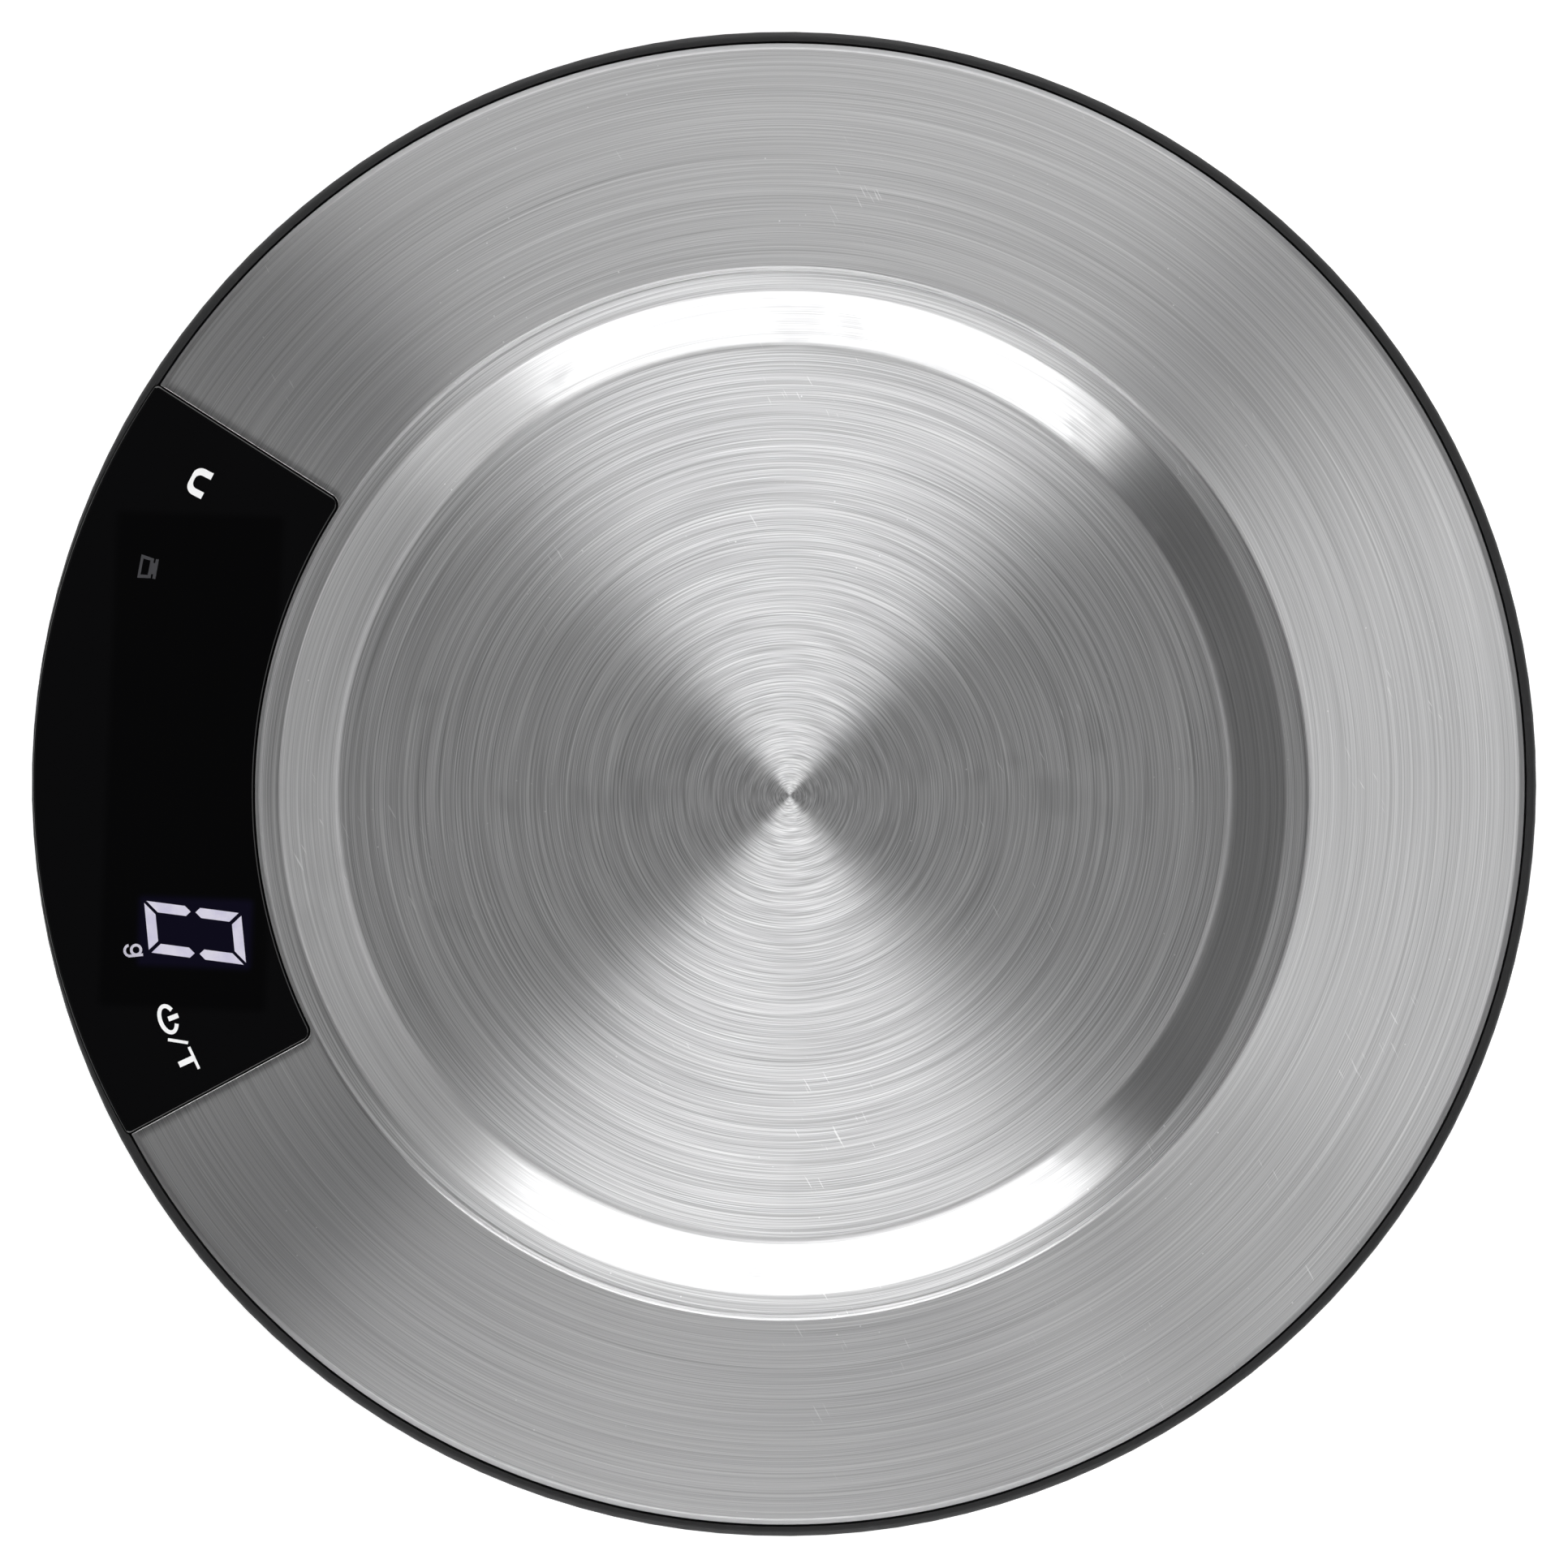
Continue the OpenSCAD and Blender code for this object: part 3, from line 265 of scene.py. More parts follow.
def cover_grids():
    """Grids of the steel cover, a sheet of one thickness.

    Inside the crest the rows are circles about the dish's axis with a profile of arcs and lines. Outside it
    the rows' centres glide to the housing's axis, their heights lie on the cone, and they end at the panel's
    cut-out. The last rows roll over into the skirt. The edge of the cut-out is a quarter round and a wall.
    """
    rho_0 = open_r - edge_r
    apex = crest_r - crest_in
    corners = [(0, disc_z), (disc_r, disc_z), (shoulder_r, shoulder_z), (apex - crest_w, shoulder_z),
               (apex, crest_z + crest_h), (crest_r + crest_foot, cover_height(crest_r)),
               (rho_0, cover_height(rho_0))]
    profile = eased(corners, [disc_round, shoulder_round, *crest_rounds], guard=0.02 * MM)
    flat_rings = np.linspace(0, disc_r, 9)[1:-1]
    flat_part = np.stack([flat_rings, np.full(len(flat_rings), disc_z)], axis=1)
    profile = np.concatenate([profile[:1], flat_part, profile[1:]])
    start = cut_side(np.array([rho_0]), 1, 1)[0][0]
    end = cut_side(np.array([rho_0]), 1, -1)[0][0]
    main = np.linspace(start, end, MAIN_COLUMNS + 1)
    front = np.linspace(end, start + 2 * math.pi, FRONT_COLUMNS + 1)[1:-1]
    around = np.concatenate([main, front])
    plan = dish_c + profile[:, :1, None] * unit(around)[None]
    lean = np.clip((profile[:, 0] - apex) / (rho_0 - apex), 0, 1)[:, None]
    own_cone = cover_height(np.linalg.norm(plan, axis=-1)) - cover_height(profile[:, :1])
    dish = raised(plan, profile[:, 1:] + lean * own_cone)
    dish_in = np.broadcast_to([0.0, 0, -1], dish.shape)

    quarter = np.linspace(0, 1, 13)
    near = rho_0 + dense_w * (1 - np.cos(quarter * math.pi / 2))
    flat = np.linspace(near[-1], roll_top_r, 16)[1:]
    turn = np.linspace(slope, math.pi / 2, 11)
    roll_start = roll_top_r + roll_r * math.sin(slope)
    roll_c = cover_height(roll_start) - roll_r * math.cos(slope)
    rho = np.concatenate([near, flat, roll_top_r + roll_r * np.sin(turn), np.full(4, cover_r)])
    drop = np.linspace(roll_c, skirt_z, 5)[1:]
    settle = np.clip((rho - glide_from) / glide_w, 0, 1)
    share = 1 - settle * settle * (3 - 2 * settle)
    sides = [cut_side(rho, share, m) for m in (1, -1)]
    step = np.linspace(0, 1, MAIN_COLUMNS + 1)
    angle = sides[0][0][:, None] * (1 - step) + sides[1][0][:, None] * step
    plan = share[:, None, None] * dish_c + rho[:, None, None] * unit(angle)
    z = cover_height(np.linalg.norm(plan, axis=-1))
    flat_rows = len(near) + len(flat)
    z[flat_rows:flat_rows + len(turn)] = (roll_c + roll_r * np.cos(turn))[:, None]
    z[-4:] = drop[:, None]
    ring = raised(plan, z)
    tilt = np.concatenate([np.zeros(flat_rows), turn, np.full(4, math.pi / 2)])[:, None]
    ring_in = raised(-np.sin(tilt)[..., None] * unit(angle), -np.cos(tilt))

    dish_back, ring_back = dish + dish_in * steel_t, ring + ring_in * steel_t
    front_normal = -unit(front)
    dish_back[-1, MAIN_COLUMNS + 1:, :2] -= front_normal * edge_r
    for side, column in ((0, 0), (1, -1)):
        ring_back[:, column, :2] -= sides[side][1] * edge_r
    dish_back[-1, :MAIN_COLUMNS + 1] = ring_back[0]

    border = np.concatenate([ring[::-1, 0], dish[-1, :MAIN_COLUMNS:-1], ring[:, -1]])
    inward = np.concatenate([ring_in[::-1, 0], dish_in[-1, :MAIN_COLUMNS:-1], ring_in[:, -1]])
    normal = np.concatenate([sides[0][1][::-1], front_normal[::-1], sides[1][1]])
    out = raised(-normal, 0)
    bend = np.linspace(0, math.pi / 2, 6)[:, None, None]
    lip = border + out * edge_r * np.sin(bend) + inward * edge_r * (1 - np.cos(bend))
    lip = np.concatenate([lip, (border + out * edge_r + inward * steel_t)[None]])
    ends = [np.stack([np.broadcast_to(lip[0, k], lip[:, k].shape), lip[:, k]]) for k in (0, -1)]
    skirt_end = np.stack([ring[-1], ring_back[-1]])
    return [(dish, True), (ring, False), (dish_back, True), (ring_back, False), (lip, False),
            (ends[0], False), (ends[1], False), (skirt_end, False)]


# ---------- the control panel ----------

def arc_points(centre, p, q, n):
    """n + 1 points along the shorter arc about centre from p to q."""
    a, b = (math.atan2(*(v - centre)[::-1]) for v in (p, q))
    sweep = (b - a + math.pi) % (2 * math.pi) - math.pi
    return centre + np.linalg.norm(p - centre) * unit(a + sweep * np.linspace(0, 1, n + 1))


def panel_outline(inset):
    """Outline of the panel's cut-out drawn in by inset: outer arc, side, inner arc, side, corners rounded."""
    apex = np.array([0, -inset / math.sin(panel_half)])
    f = max(0.2 * MM, panel_corner - inset)
    rounds = {}
    for name, centre, r, radius, out in (("outer", panel_arc_c, panel_arc_r - inset, f / 2, -1),
                                         ("inner", dish_c, open_r + inset, f, 1)):
        for side in (-1, 1):
            u = np.array([side * math.sin(panel_half), -math.cos(panel_half)])
            n = np.array([-side * math.cos(panel_half), -math.sin(panel_half)])
            q = apex + radius * n - centre
            t = math.sqrt((q @ u) ** 2 - q @ q + (r + out * radius) ** 2) - q @ u
            middle = apex + t * u + radius * n
            rounds[name, side] = middle, apex + t * u, centre + (middle - centre) * r / (r + out * radius)
    o0, o1, i0, i1 = (rounds[k] for k in (("outer", -1), ("outer", 1), ("inner", -1), ("inner", 1)))
    parts = [arc_points(panel_arc_c, o0[2], o1[2], 120), arc_points(o1[0], o1[2], o1[1], 8)[1:],
             np.linspace(o1[1], i1[1], 41)[1:], arc_points(i1[0], i1[1], i1[2], 10)[1:],
             arc_points(dish_c, i1[2], i0[2], 90)[1:], arc_points(i0[0], i0[2], i0[1], 10)[1:],
             np.linspace(i0[1], o0[1], 41)[1:], arc_points(o0[0], o0[1], o0[2], 8)[1:-1]]
    return np.concatenate(parts)


def panel_grids():
    """Grids of the control panel: a wall, a round bevel, and a face and a back on the cone.

    The face and the back are filled by outlines that shrink towards a point in the panel's middle.
    """
    turn = np.linspace(0, math.pi / 2, 9)
    insets = panel_gap + bevel_w * (1 - np.cos(turn))
    drops = face_drop + bevel_h * (1 - np.sin(turn))
    loops = [panel_outline(panel_gap)] + [panel_outline(i) for i in insets]
    plan = np.stack(loops)
    depth = np.concatenate([[face_drop + panel_t], drops])[:, None]
    wall = raised(plan, cover_height(np.linalg.norm(plan, axis=-1)) - depth)
    shrink = np.concatenate([[1, 0.996], np.linspace(0.96, 0, 22)])[:, None, None]
    face = panel_mid + shrink * (loops[-1] - panel_mid)
    back = panel_mid + np.linspace(1, 0, 8)[:, None, None] * (loops[0] - panel_mid)
    top = raised(face, cover_height(np.linalg.norm(face, axis=-1)) - face_drop)
    under = raised(back, cover_height(np.linalg.norm(back, axis=-1)) - face_drop - panel_t)
    return [(wall, True), (top, True), (under, True)]


# ---------- feet, pads and springs ----------

def pad_grid(node):
    """A rubber pad: a lathed disc with round edges and rings of grooves in its sole."""
    low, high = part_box(node)
    r, h = (high.x - low.x) / 2, high.z - low.z
    sole = [(0, 0)]
    for at in groove_at:
        g = at * r
        sole += [(g - groove_w, 0), (g - groove_top_w, groove_h)]
        sole += [(g + groove_top_w, groove_h), (g + groove_w, 0)]
    corners = sole + [(r, 0), (r, h), (0, h)]
    radii = [groove_round] * (len(sole) - 1) + [sole_round, pad_top_round]
    profile = eased(corners, radii, steps=4, guard=0.01 * MM)
    profile[:, 1] += low.z
    return [(lathe(profile, (low + high) / 2), True)]


def spring_grids(low, high):
    """A coil spring that fills a box: a helix, level over a share of its length at each end, as a tube."""
    wire = spring_wire / 2
    r = (high[0] - low[0]) / 2 - wire
    t = np.linspace(0, 1, spring_turns * 30 + 1)
    level = 0.12
    rise = np.clip((t - level) / (1 - 2 * level), 0, 1)
    rise = rise * rise * (3 - 2 * rise)
    centre = (np.asarray(low) + np.asarray(high)) / 2
    z = low[2] + wire + (high[2] - low[2] - 2 * wire) * rise
    return tube(raised(centre[:2] + r * unit(t * spring_turns * 2 * math.pi), z), wire, 12)


# ---------- finishes ----------

class Amount:
    """A number that varies over a surface. Sums and products of it add Math nodes to its finish."""

    def __init__(self, finish, socket):
        self.finish, self.socket = finish, socket

    def __add__(self, other):
        return self.finish.math("ADD", self, other)

    def __sub__(self, other):
        return self.finish.math("SUBTRACT", self, other)

    def __rsub__(self, other):
        return self.finish.math("SUBTRACT", other, self)

    def __mul__(self, other):
        return self.finish.math("MULTIPLY", self, other)

    def __truediv__(self, other):
        return self.finish.math("DIVIDE", self, other)

    def __pow__(self, other):
        return self.finish.math("POWER", self, other)

    __radd__, __rmul__ = __add__, __mul__


class Finish:
    """A material made of one Principled shader, with the nodes that vary it over Object coordinates."""

    def __init__(self, name, colour, roughness, **constants):
        self.material = bpy.data.materials.new(name)
        self.material.use_nodes = True
        self.material.diffuse_color = (*colour, 1)
        self.tree = self.material.node_tree
        self.shader = self.tree.nodes["Principled BSDF"]
        self.set(Base_Color=(*colour, 1), Roughness=roughness, **constants)
        self.place = self.node("ShaderNodeTexCoord").outputs["Object"]

    def node(self, kind, settings=None, inputs=None):
        """A node of that kind: its settings, then its sockets' values or links."""
        made = self.tree.nodes.new(kind)
        for key, value in (settings or {}).items():
            setattr(made, key, value)
        for key, value in (inputs or {}).items():
            self.feed(made.inputs[key], value)
        return made

    def feed(self, socket, value):
        """Sets a socket's value, or links it to an amount or another socket."""
        if isinstance(value, Amount):
            value = value.socket
        if isinstance(value, bpy.types.NodeSocket):
            self.tree.links.new(value, socket)
        else:
            socket.default_value = value

    def set(self, **values):
        """Feeds the shader's own sockets, named with underscores for spaces."""
        for key, value in values.items():
            self.feed(self.shader.inputs[key.replace("_", " ")], value)
        return self

    def math(self, operation, *values):
        """What a Math node makes of the values."""
        made = self.node("ShaderNodeMath", {"operation": operation}, dict(enumerate(values)))
        return Amount(self, made.outputs[0])

    def axes(self):
        """The three Object coordinates as amounts."""
        split = self.node("ShaderNodeSeparateXYZ", inputs={0: self.place})
        return [Amount(self, s) for s in split.outputs]

    def vector(self, x, y, z):
        """A place made of three amounts."""
        return self.node("ShaderNodeCombineXYZ", inputs={0: x, 1: y, 2: z}).outputs[0]

    def noise(self, scale, detail=2.0, roughness=0.5, at=None):
        """Smooth noise from 0 to 1. The scale is in features per metre, or per unit of the place given."""
        inputs = {"Vector": at or self.place, "Scale": scale, "Detail": detail, "Roughness": roughness}
        made = self.node("ShaderNodeTexNoise", {"noise_dimensions": "3D"}, inputs)
        return Amount(self, made.outputs["Fac"])

    def cells(self, scale, output="Distance"):
        """Scattered cells: the distance to each one's middle, in cells, or a colour of its own."""
        made = self.node("ShaderNodeTexVoronoi", inputs={"Vector": self.place, "Scale": scale})
        return Amount(self, made.outputs[output])

    def ramp(self, value, low, high, to_low=0.0, to_high=1.0):
        """Smooth step of value from to_low, at low, to to_high, at high."""
        made = self.node("ShaderNodeMapRange", {"interpolation_type": "SMOOTHSTEP"},
                         {0: value, 1: low, 2: high, 3: to_low, 4: to_high})
        return Amount(self, made.outputs[0])

    def blend(self, factor, a, b):
        """Colour between a and b."""
        made = self.node("ShaderNodeMix", {"data_type": "RGBA"}, {0: factor, 6: full(a), 7: full(b)})
        return made.outputs[2]

    def bump(self, height, distance):
        """Relief on the shader's normal: height is in units of the distance, which is in metres."""
        made = self.node("ShaderNodeBump", inputs={"Height": height, "Distance": distance})
        return self.set(Normal=made.outputs[0])


def full(colour):
    """A colour with its alpha, or a link as it is."""
    return colour if isinstance(colour, bpy.types.NodeSocket) or len(colour) == 4 else (*colour, 1)


def outside_box(f, place, low, high):
    """Distance in the plan outside a box: 0 inside it, else the length of what lies beyond its sides."""
    over = [f.math("MAXIMUM", f.math("ABSOLUTE", p - (a + b) / 2) - (b - a) / 2, 0)
            for p, a, b in zip(place, low, high)]
    return (over[0] * over[0] + over[1] * over[1]) ** 0.5


def moulded_plastic(name, colour, roughness, grain=6500, depth=0.03 * MM, wear=0.25):
    """Plastic from an eroded mould: a fine pebble grain, soft blotches and faint rubbing."""
    f = Finish(name, colour, roughness, IOR=1.42)
    pebble = f.noise(grain, 3, 0.6)
    fine = f.noise(grain * 3.1, 2)
    blotch = f.noise(60, 4)
    rub = f.ramp(f.noise(240, 5, 0.7), 0.56, 0.72)
    f.set(Base_Color=f.blend(rub * wear + 0.25 * pebble, colour, [min(1, c * 1.9 + 0.012) for c in colour]),
          Roughness=roughness + 0.18 * (blotch - 0.5) + 0.14 * (pebble - 0.5) - 0.08 * rub)
    return f.bump(pebble + 0.5 * fine, depth).material


def brushed_cover():
    """Stainless steel brushed in circles: long fine arcs of several widths, tiny nicks, specks and smears.

    The dish is brushed about a point near its own middle, and the ring about one near the housing's. The
    dish's band is polished finer. The rolled edge is rougher, and its colour is darkened as painted shade.
    """
    f = Finish("brushed_cover", (0.63, 0.63, 0.635), 0.44, Metallic=1.0,
               Anisotropic=0.95, Anisotropic_Rotation=0.25)
    x, y = f.axes()[:2]
    from_axis = (x * x + y * y) ** 0.5
    from_dish = ((x - dish_c[0]) ** 2 + (y - dish_c[1]) ** 2) ** 0.5
    ring = f.ramp(from_dish, crest_r - 0.4 * MM, crest_r + 0.2 * MM)
    band = f.ramp(from_dish, disc_r - 1.1 * MM, disc_r - 0.5 * MM) \
        * f.ramp(from_dish, shoulder_r, shoulder_r + 0.5 * MM, 1, 0)
    # the rolled edge: rougher, and its colour darkened as painted shade
    turned = f.ramp(from_axis, roll_top_r, roll_top_r + 0.5 * MM)
    x = x - brush_c[0] + (brush_c[0] - ring_brush_c[0]) * ring
    y = y - brush_c[1] + (brush_c[1] - ring_brush_c[1]) * ring
    r = (x * x + y * y) ** 0.5 + 0.01 * MM
    turn_x, turn_y = x / r, y / r

    def arcs(width, length, seed):
        """Noise that is width wide across the brushing; length is how many arcs fill a radian."""
        return f.noise(1, 1.5, 0.62, f.vector(turn_x * length + seed, turn_y * length, r / width))

    broad = arcs(1.3 * MM, 0.9, 3) - 0.5
    middle = arcs(0.24 * MM, 1.1, 11) - 0.5
    fine = arcs(0.12 * MM, 1.7, 23) - 0.5
    bright = f.ramp(arcs(0.16 * MM, 1.5, 37), 0.62, 0.74)
    dark = f.ramp(arcs(0.15 * MM, 1.3, 51), 0.62, 0.76)
    cloud = f.noise(16, 1) - 0.5
    nick = f.ramp(f.noise(1, 1, at=f.vector(x * 210 + y * 120, y * 2600 - x * 1500, 7)), 0.7, 0.76) \
        * f.ramp(f.noise(48, 2), 0.56, 0.64)
    speck = f.ramp(f.cells(460), 0.03, 0.07, 1, 0) * f.ramp(f.noise(70, 2), 0.54, 0.62)
    smear = f.ramp(f.noise(90, 2, 0.7), 0.56, 0.7)
    lines = 0.95 * fine + 0.36 * middle + 0.08 * broad + 0.22 * bright - 0.22 * dark
    # painted shade: turned darkens the rolled edge's colour here
    level = lines * (1.1 - 0.42 * ring - 0.5 * band) + 0.14 * cloud + 0.3 * nick + 0.4 * speck - 0.5 * turned
    f.set(Base_Color=f.blend(f.ramp(level, -0.42, 0.42), (0.38, 0.38, 0.386), (0.92, 0.92, 0.925)),
          Roughness=0.5 - 0.21 * ring - 0.17 * band + 0.2 * turned + 0.05 * smear * (1 - ring)
          - (0.08 * middle + 0.04 * broad) * (1 - 0.6 * ring) + 0.05 * speck)
    return f.bump(fine * (1.4 - 1.2 * band), 0.002 * MM).material


def panel_black():
    """Black acrylic: a clear gloss with faint swirls from wiping, and the display's window showing darker.

    A faint violet glow is painted about the lit digit: the panel's own surface emits it.
    """
    f = Finish("panel_black", (0.002, 0.002, 0.0022), 0.09, IOR=1.5)
    x, y = f.axes()[:2]
    low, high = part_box("display_module")
    window = f.ramp(outside_box(f, (x, y), low, high), 0, 1.5 * MM, 1, 0)
    # painted glow: the panel emits a faint violet light about the lit digit
    painted_glow = f.ramp(outside_box(f, (x, y), *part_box("lit_digit")), 0, 1.6 * MM, 1, 0)
    haze = f.noise(45, 4)
    swirl = f.ramp(f.noise(1, 3, at=f.vector(x * 90, y * 1600, 3)), 0.6, 0.8)
    f.set(Base_Color=f.blend(window, (0.0021, 0.0021, 0.0024), (0.0009, 0.0009, 0.0011)),
          Roughness=0.08 + 0.05 * haze + 0.04 * swirl, Emission_Strength=1.0,
          Emission_Color=f.blend(painted_glow ** 2, (0, 0, 0), (0.0022, 0.0016, 0.008)))
    return f.bump(haze + 0.1 * swirl, 0.002 * MM).material


def lit_mark(name, colour, power, dimmer):
    """A lit segment behind the panel's gloss: two tones that shift in soft patches, with a fine grain."""
    f = Finish(name, (0.3, 0.3, 0.32), 0.12, IOR=1.5, Emission_Strength=power)
    patch = f.noise(420, 2)
    grain = f.noise(5200, 2)
    f.set(Emission_Color=f.blend(f.ramp(patch + 0.25 * grain, 0.35, 0.85), dimmer, colour),
          Roughness=0.1 + 0.05 * patch)
    return f.material


def screen_print(name, colour):
    """Opaque printing ink: a slight orange peel and a grain of pigment."""
    f = Finish(name, colour, 0.4)
    peel, pigment = f.noise(2600, 2), f.noise(9000, 2)
    f.set(Base_Color=f.blend(pigment, [c * 0.9 for c in colour], colour), Roughness=0.34 + 0.16 * peel)
    return f.bump(peel, 0.004 * MM).material


def worked_metal(name, colour, roughness, scratch=0.25 * MM, depth=0.004 * MM, stain=0.3):
    """Plated or rolled metal: straight fine scratches, blotches where the plating dulls, and pits."""
    f = Finish(name, colour, roughness, Metallic=1.0)
    x, y, z = f.axes()
    lines = f.noise(1, 3, 0.6, f.vector(x / scratch, y / (14 * scratch), z / scratch))
    dull = f.noise(160, 4, 0.6)
    pits = f.ramp(f.cells(2600), 0.05, 0.16, 1, 0) * f.ramp(dull, 0.52, 0.62)
    dulled = [c * 0.62 for c in colour]
    f.set(Base_Color=f.blend(f.ramp(dull, 0.35, 0.7) * stain + 0.3 * lines, colour, dulled),
          Roughness=roughness + 0.16 * (lines - 0.5) + 0.18 * (dull - 0.5))
    return f.bump(lines - 0.4 * pits, depth).material


def rubber(name, colour):
    """Moulded rubber: dull, with bloom in patches, dust in its grain and small pores."""
    f = Finish(name, colour, 0.78, IOR=1.52, Sheen_Weight=0.12)
    bloom, grain = f.noise(180, 4, 0.6), f.noise(7200, 2)
    pores = f.ramp(f.cells(3400), 0.06, 0.18, 1, 0)
    bloomed = [c * 1.7 + 0.02 for c in colour]
    f.set(Base_Color=f.blend(0.6 * f.ramp(bloom, 0.4, 0.75) + 0.3 * grain, colour, bloomed),
          Roughness=0.68 + 0.2 * bloom)
    return f.bump(grain - 0.6 * pores, 0.03 * MM).material


def insulation(name, colour):
    """Soft PVC on a lead: a satin skin with a fine grain and slight lumps."""
    f = Finish(name, colour, 0.42, IOR=1.5)
    grain, lumps = f.noise(3800, 2), f.noise(320, 3)
    f.set(Base_Color=f.blend(0.35 * lumps + 0.2 * grain, colour, [c * 0.6 for c in colour]),
          Roughness=0.34 + 0.2 * lumps)
    return f.bump(lumps + 0.3 * grain, 0.03 * MM).material


def circuit_board():
    """Green board: tracks in two directions under the solder mask, pads and a weave."""
    f = Finish("board_green", (0.01, 0.09, 0.03), 0.35, IOR=1.52, Coat_Weight=0.4)
    x, y = f.axes()[:2]
    cell = f.cells(330, output="Color")
    along = f.ramp(f.math("PINGPONG", x + 0.4 * MM * cell, 0.6 * MM), 0.22 * MM, 0.3 * MM)
    across = f.ramp(f.math("PINGPONG", y + 0.4 * MM * cell, 0.7 * MM), 0.26 * MM, 0.34 * MM)
    pick = f.ramp(cell, 0.48, 0.52)
    track = along * pick + across * (1 - pick)
    weave = f.math("PINGPONG", x, 0.25 * MM) * f.math("PINGPONG", y, 0.25 * MM) * 1.6e7
    pad = f.ramp(f.cells(280), 0.1, 0.13, 1, 0)
    mask = f.blend(track, (0.006, 0.06, 0.02), (0.02, 0.16, 0.055))
    f.set(Base_Color=f.blend(pad, mask, (0.62, 0.6, 0.52)), Metallic=0.8 * pad, Roughness=0.3 + 0.1 * weave)
    return f.bump(track + 0.3 * weave, 0.02 * MM).material


def foam_tape():
    """Double-sided tape: a pale fibrous sheet with trapped bubbles."""
    f = Finish("tape", (0.72, 0.7, 0.62), 0.6)
    fibre, bubble = f.noise(1800, 4, 0.7), f.ramp(f.cells(300), 0.08, 0.3, 1, 0)
    f.set(Base_Color=f.blend(0.6 * fibre + 0.3 * bubble, (0.74, 0.72, 0.63), (0.58, 0.55, 0.46)),
          Roughness=0.5 + 0.25 * fibre)
    return f.bump(fibre + bubble, 0.03 * MM).material


def battery_sleeve():
    """Shrink sleeve of a plain cell: dark in the middle and ochre beyond, with metal tips and wrinkles."""
    f = Finish("battery_sleeve", (0.03, 0.05, 0.09), 0.28, IOR=1.5, Coat_Weight=0.5)
    x = f.axes()[0]
    band = f.ramp(f.math("ABSOLUTE", x), 12 * MM, 12.3 * MM)
    tip = f.ramp(f.math("ABSOLUTE", x), 21.2 * MM, 21.4 * MM)
    wrinkle = f.noise(900, 3)
    body = f.blend(band, (0.025, 0.045, 0.09), (0.5, 0.33, 0.12))
    f.set(Base_Color=f.blend(tip, body, (0.6, 0.6, 0.58)), Metallic=tip, Roughness=0.22 + 0.2 * wrinkle)
    return f.bump(wrinkle, 0.03 * MM).material


def strain_gauge():
    """Amber film with the gauge's foil showing as fine stripes, under uneven glue."""
    f = Finish("gauge_amber", (0.55, 0.3, 0.06), 0.25, IOR=1.5, Coat_Weight=0.7)
    x = f.axes()[0]
    foil = f.ramp(f.math("PINGPONG", x, 0.22 * MM), 0.1 * MM, 0.14 * MM) * f.ramp(f.noise(500, 1), 0.42, 0.5)
    glue = f.noise(700, 3)
    f.set(Base_Color=f.blend(foil, (0.55, 0.3, 0.06), (0.7, 0.55, 0.32)), Roughness=0.18 + 0.2 * glue)
    return f.bump(glue, 0.08 * MM).material


def small_parts():
    """Chip resistors and capacitors: ceramic bodies in tan and grey with speckles."""
    f = Finish("small_parts", (0.4, 0.3, 0.18), 0.5)
    kind, speckle = f.cells(160, output="Color"), f.noise(5000, 2)
    f.set(Base_Color=f.blend(f.ramp(kind + 0.2 * speckle, 0.4, 0.7), (0.42, 0.31, 0.18), (0.07, 0.07, 0.075)),
          Roughness=0.42 + 0.2 * speckle)
    return f.bump(speckle, 0.01 * MM).material


FINISHES = {
    "brushed_cover": brushed_cover(),
    "tape": foam_tape(),
    "housing_black": moulded_plastic("housing_black", (0.008, 0.008, 0.0085), 0.52),
    "panel_black": panel_black(),
    "lit_mark": lit_mark("lit_mark", (0.6, 0.56, 0.69), 0.62, (0.43, 0.39, 0.6)),
    "lit_mark_dim": lit_mark("lit_mark_dim", (0.5, 0.47, 0.55), 0.62, (0.34, 0.31, 0.42)),
    "idle_mark": screen_print("idle_mark", (0.045, 0.045, 0.05)),
    "white_print": screen_print("white_print", (0.95, 0.95, 0.95)),
    "module_black": moulded_plastic("module_black", (0.02, 0.02, 0.022), 0.45),
    "board_green": circuit_board(),
    "chip_black": moulded_plastic("chip_black", (0.02, 0.02, 0.02), 0.6, grain=9000, wear=0.1),
    "small_parts": small_parts(),
    "plated_wire": worked_metal("plated_wire", (0.72, 0.72, 0.7), 0.3),
    "screw_steel": worked_metal("screw_steel", (0.55, 0.55, 0.56), 0.35, stain=0.5),
    "foot_black": moulded_plastic("foot_black", (0.02, 0.02, 0.021), 0.48, grain=5200),
    "pad_rubber": rubber("pad_rubber", (0.05, 0.05, 0.052)),
    "cell_steel": worked_metal("cell_steel", (0.5, 0.5, 0.52), 0.38, scratch=0.4 * MM, stain=0.5),
    "gauge_amber": strain_gauge(),
    "lead_grey": insulation("lead_grey", (0.62, 0.62, 0.6)),
    "lead_red": insulation("lead_red", (0.5, 0.02, 0.015)),
    "lead_black": insulation("lead_black", (0.02, 0.02, 0.02)),
    "battery_sleeve": battery_sleeve(),
    "contact_nickel": worked_metal("contact_nickel", (0.68, 0.65, 0.58), 0.32),
}
for node in frame["nodes"].values():
    node.material_slots[0].material = FINISHES[node.material_slots[0].name.split(".")[0]]


# ---------- pieces ----------

cover = piece("cover_sheet", cover_grids(), FINISHES["brushed_cover"], centre=brush_c, sharp=50)
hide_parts("steel_cover")

panel = piece("panel_face", panel_grids(), FINISHES["panel_black"], sharp=60)
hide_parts("control_panel")

for corner in CORNERS:
    pad = piece("sole_" + corner, pad_grid("pad_" + corner), FINISHES["pad_rubber"], "foot_%s_set" % corner)
    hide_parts("pad_" + corner)

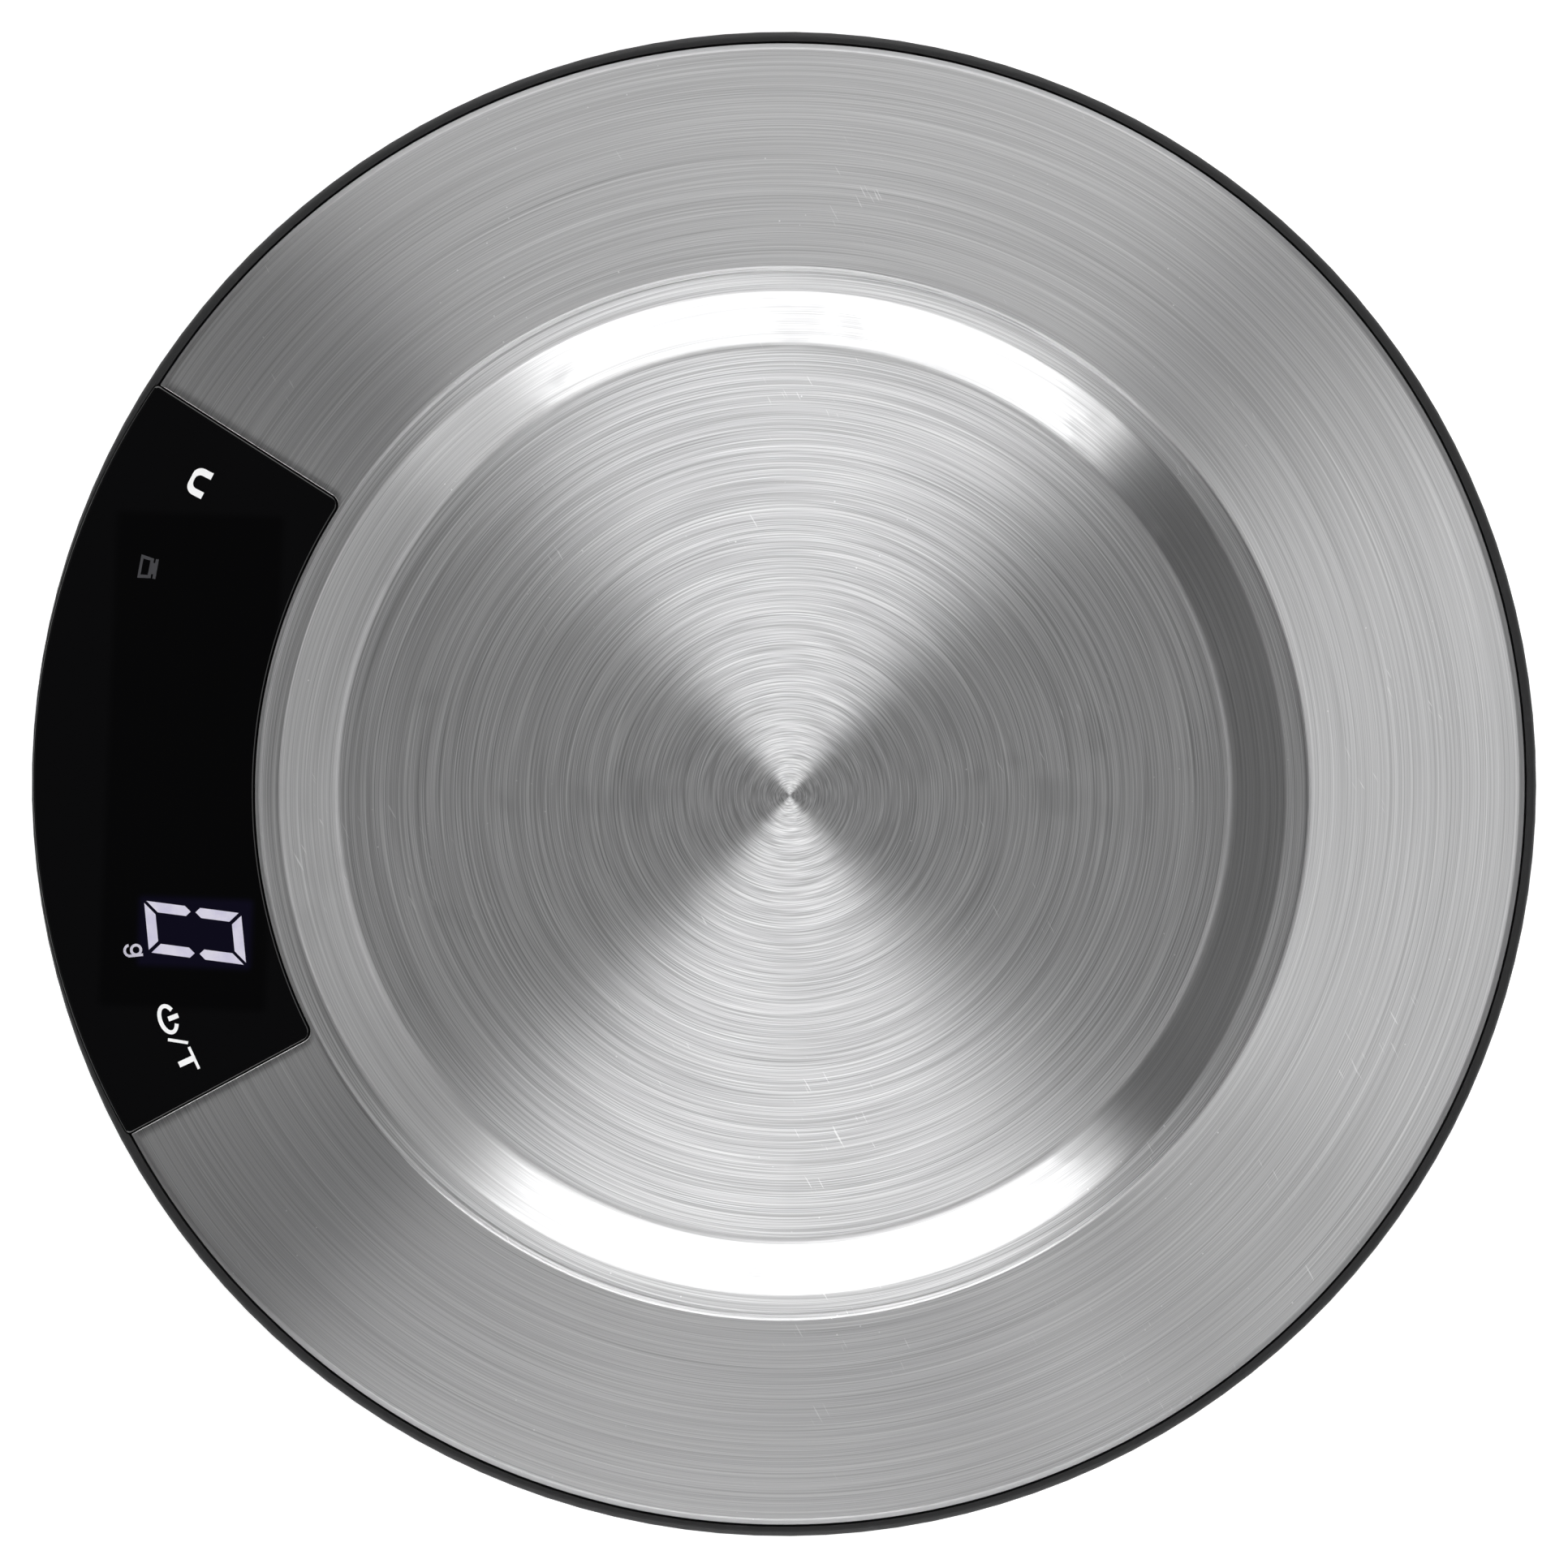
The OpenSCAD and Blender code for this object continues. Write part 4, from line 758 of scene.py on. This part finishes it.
spring_low, spring_high = (np.array(v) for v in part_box("touch_springs"))
for name, low_x in (("spring_left", spring_low[0]), ("spring_right", spring_high[0] - spring_d)):
    low, high = spring_low.copy(), spring_high.copy()
    low[0], high[0] = low_x, low_x + spring_d
    coil = piece(name, spring_grids(low, high), FINISHES["plated_wire"])
    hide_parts("touch_springs")


# ---------- stage, lights and camera ----------

def stand(x, y, z, place):
    """Placing matrix from three directions, made of unit length, and a place."""
    turned = [np.asarray(v, float) / np.linalg.norm(v) for v in (x, y, z)]
    return Matrix([(*row, shift) for row, shift in zip(np.stack(turned, axis=1), place)] + [(0, 0, 0, 1)])


def dome_card(name, azimuth, spread, low, high, radiance):
    """A soft rectangular light on a dome about the scale, aimed at it and hidden from the camera.

    The azimuth runs from +Y towards +X. The card covers the spread to either side of it, and the
    elevations from low to high, all in degrees.
    """
    turn, lift = math.radians(azimuth), math.radians((low + high) / 2)
    back = np.array([math.sin(turn) * math.cos(lift), math.cos(turn) * math.cos(lift), math.sin(lift)])
    side = np.array([math.cos(turn), -math.sin(turn), 0])
    light = bpy.data.lights.new(name, "AREA")
    light.shape = "RECTANGLE"
    light.size = 2 * DOME_R * math.cos(lift) * math.tan(math.radians(spread))
    light.size_y = 2 * DOME_R * math.tan(math.radians((high - low) / 2))
    light.energy = radiance * math.pi * light.size * light.size_y
    lamp = bpy.data.objects.new(name, light)
    bpy.context.scene.collection.objects.link(lamp)
    lamp.matrix_world = stand(side, np.cross(back, side), back, DOME_R * back + (0, 0, disc_z))
    lamp.visible_camera = False


def backdrop(name, height, finish, up):
    """A wide level sheet of the stage at that height, which faces up or down."""
    side = np.linspace(-STAGE_R, STAGE_R, STAGE_ROWS)
    plan = np.stack(np.meshgrid(side, side, indexing="ij"), axis=-1)
    faces = faces_of(STAGE_ROWS, STAGE_ROWS, False, 0)
    mesh = bpy.data.meshes.new(name)
    mesh.from_pydata(raised(plan, height).reshape(-1, 3), [], faces[:, ::-1] if up else faces)
    mesh.materials.append(finish.material)
    sheet = bpy.data.objects.new(name, mesh)
    bpy.context.scene.collection.objects.link(sheet)
    return sheet


def floor_paper():
    """Matt white paper with a faint tooth, lit through a little. It shows from above only."""
    f = Finish("floor_paper", (0.9, 0.9, 0.9), 0.9, Emission_Color=(1, 1, 1, 1), Emission_Strength=0.55)
    tooth = f.noise(900, 3)
    under = Amount(f, f.node("ShaderNodeNewGeometry").outputs["Backfacing"])
    f.set(Base_Color=f.blend(tooth, (0.88, 0.88, 0.88), (0.93, 0.93, 0.93)), Alpha=1 - under)
    return f


def ceiling_paint():
    """A pale ceiling, which is the background when the scale is seen from below."""
    f = Finish("ceiling_paint", (0, 0, 0), 1, Specular_IOR_Level=0, Emission_Strength=0.8)
    f.set(Emission_Color=f.blend(f.noise(1.5, 2), (0.9, 0.9, 0.9), (1, 1, 1)))
    return f


def studio_air():
    """The air about the stage: dim overhead and pale near the horizon."""
    world = bpy.data.worlds.new("studio")
    bpy.context.scene.world = world
    world.use_nodes = True
    tree = world.node_tree
    where = tree.nodes.new("ShaderNodeTexCoord")
    split = tree.nodes.new("ShaderNodeSeparateXYZ")
    fade = tree.nodes.new("ShaderNodeMapRange")
    fade.interpolation_type = "SMOOTHSTEP"
    tree.links.new(where.outputs["Generated"], split.inputs[0])
    tree.links.new(split.outputs[2], fade.inputs[0])
    # the sines of the elevations between which it fades, and its strengths there
    for index, value in ((1, 0.02), (2, 0.22), (3, 0.85), (4, 0.03)):
        fade.inputs[index].default_value = value
    tree.links.new(fade.outputs[0], tree.nodes["Background"].inputs["Strength"])
    tree.nodes["Background"].inputs["Color"].default_value = (1, 1, 1, 1)


STAGE_R = 6
STAGE_ROWS = 9
FLOOR_Z = -0.02 * MM
CEILING_Z = 3
backdrop("floor", FLOOR_Z, floor_paper(), up=True)
ceiling = backdrop("ceiling", CEILING_Z, ceiling_paint(), up=False)
ceiling.visible_glossy = ceiling.visible_diffuse = ceiling.visible_shadow = False
studio_air()
DOME_R = 1.3
# name, azimuth, spread, lowest and highest elevation in degrees, and radiance
CARDS = [
    ("softbox_near", 93, 37, 31, 46, 6.2),
    ("skirt_near", 96, 34, 13, 31, 1.6),
    ("softbox_far", 267, 38, 31, 46, 4.6),
    ("skirt_far", 263, 38, 13, 31, 2.4),
    ("top_far", 270, 40, 46, 62, 1.5),
    ("wing_right", 52, 13, 31, 50, 1.6),
    ("strip_right", 0, 56, 14, 33, 0.95),
    ("strip_left", 180, 30, 48, 54, 0.6),
    ("fill_right", 3, 46, 60, 72, 1.0),
    ("bounce_right", 0, 40, 74, 86, 2.0),
]
for card in CARDS:
    dome_card(*card)

# the camera looks straight down, turned so that the panel lies to the left and a little above level
FRAME_W = 208 * MM
DISTANCE = 1.5
SENSOR = 36
TURN = math.radians(2.2)
camera_data = bpy.data.cameras.new("camera")
camera_data.sensor_width = SENSOR
camera_data.lens = SENSOR * DISTANCE / FRAME_W
camera_data.clip_start, camera_data.clip_end = 0.01, 50
camera = bpy.data.objects.new("camera", camera_data)
bpy.context.scene.collection.objects.link(camera)
right = (-math.sin(TURN), math.cos(TURN), 0)
up = (-math.cos(TURN), -math.sin(TURN), 0)
camera.matrix_world = stand(right, up, (0, 0, 1), (0, 0, DISTANCE + crest_z))
bpy.context.scene.camera = camera
bpy.context.scene.view_settings.view_transform = "Standard"
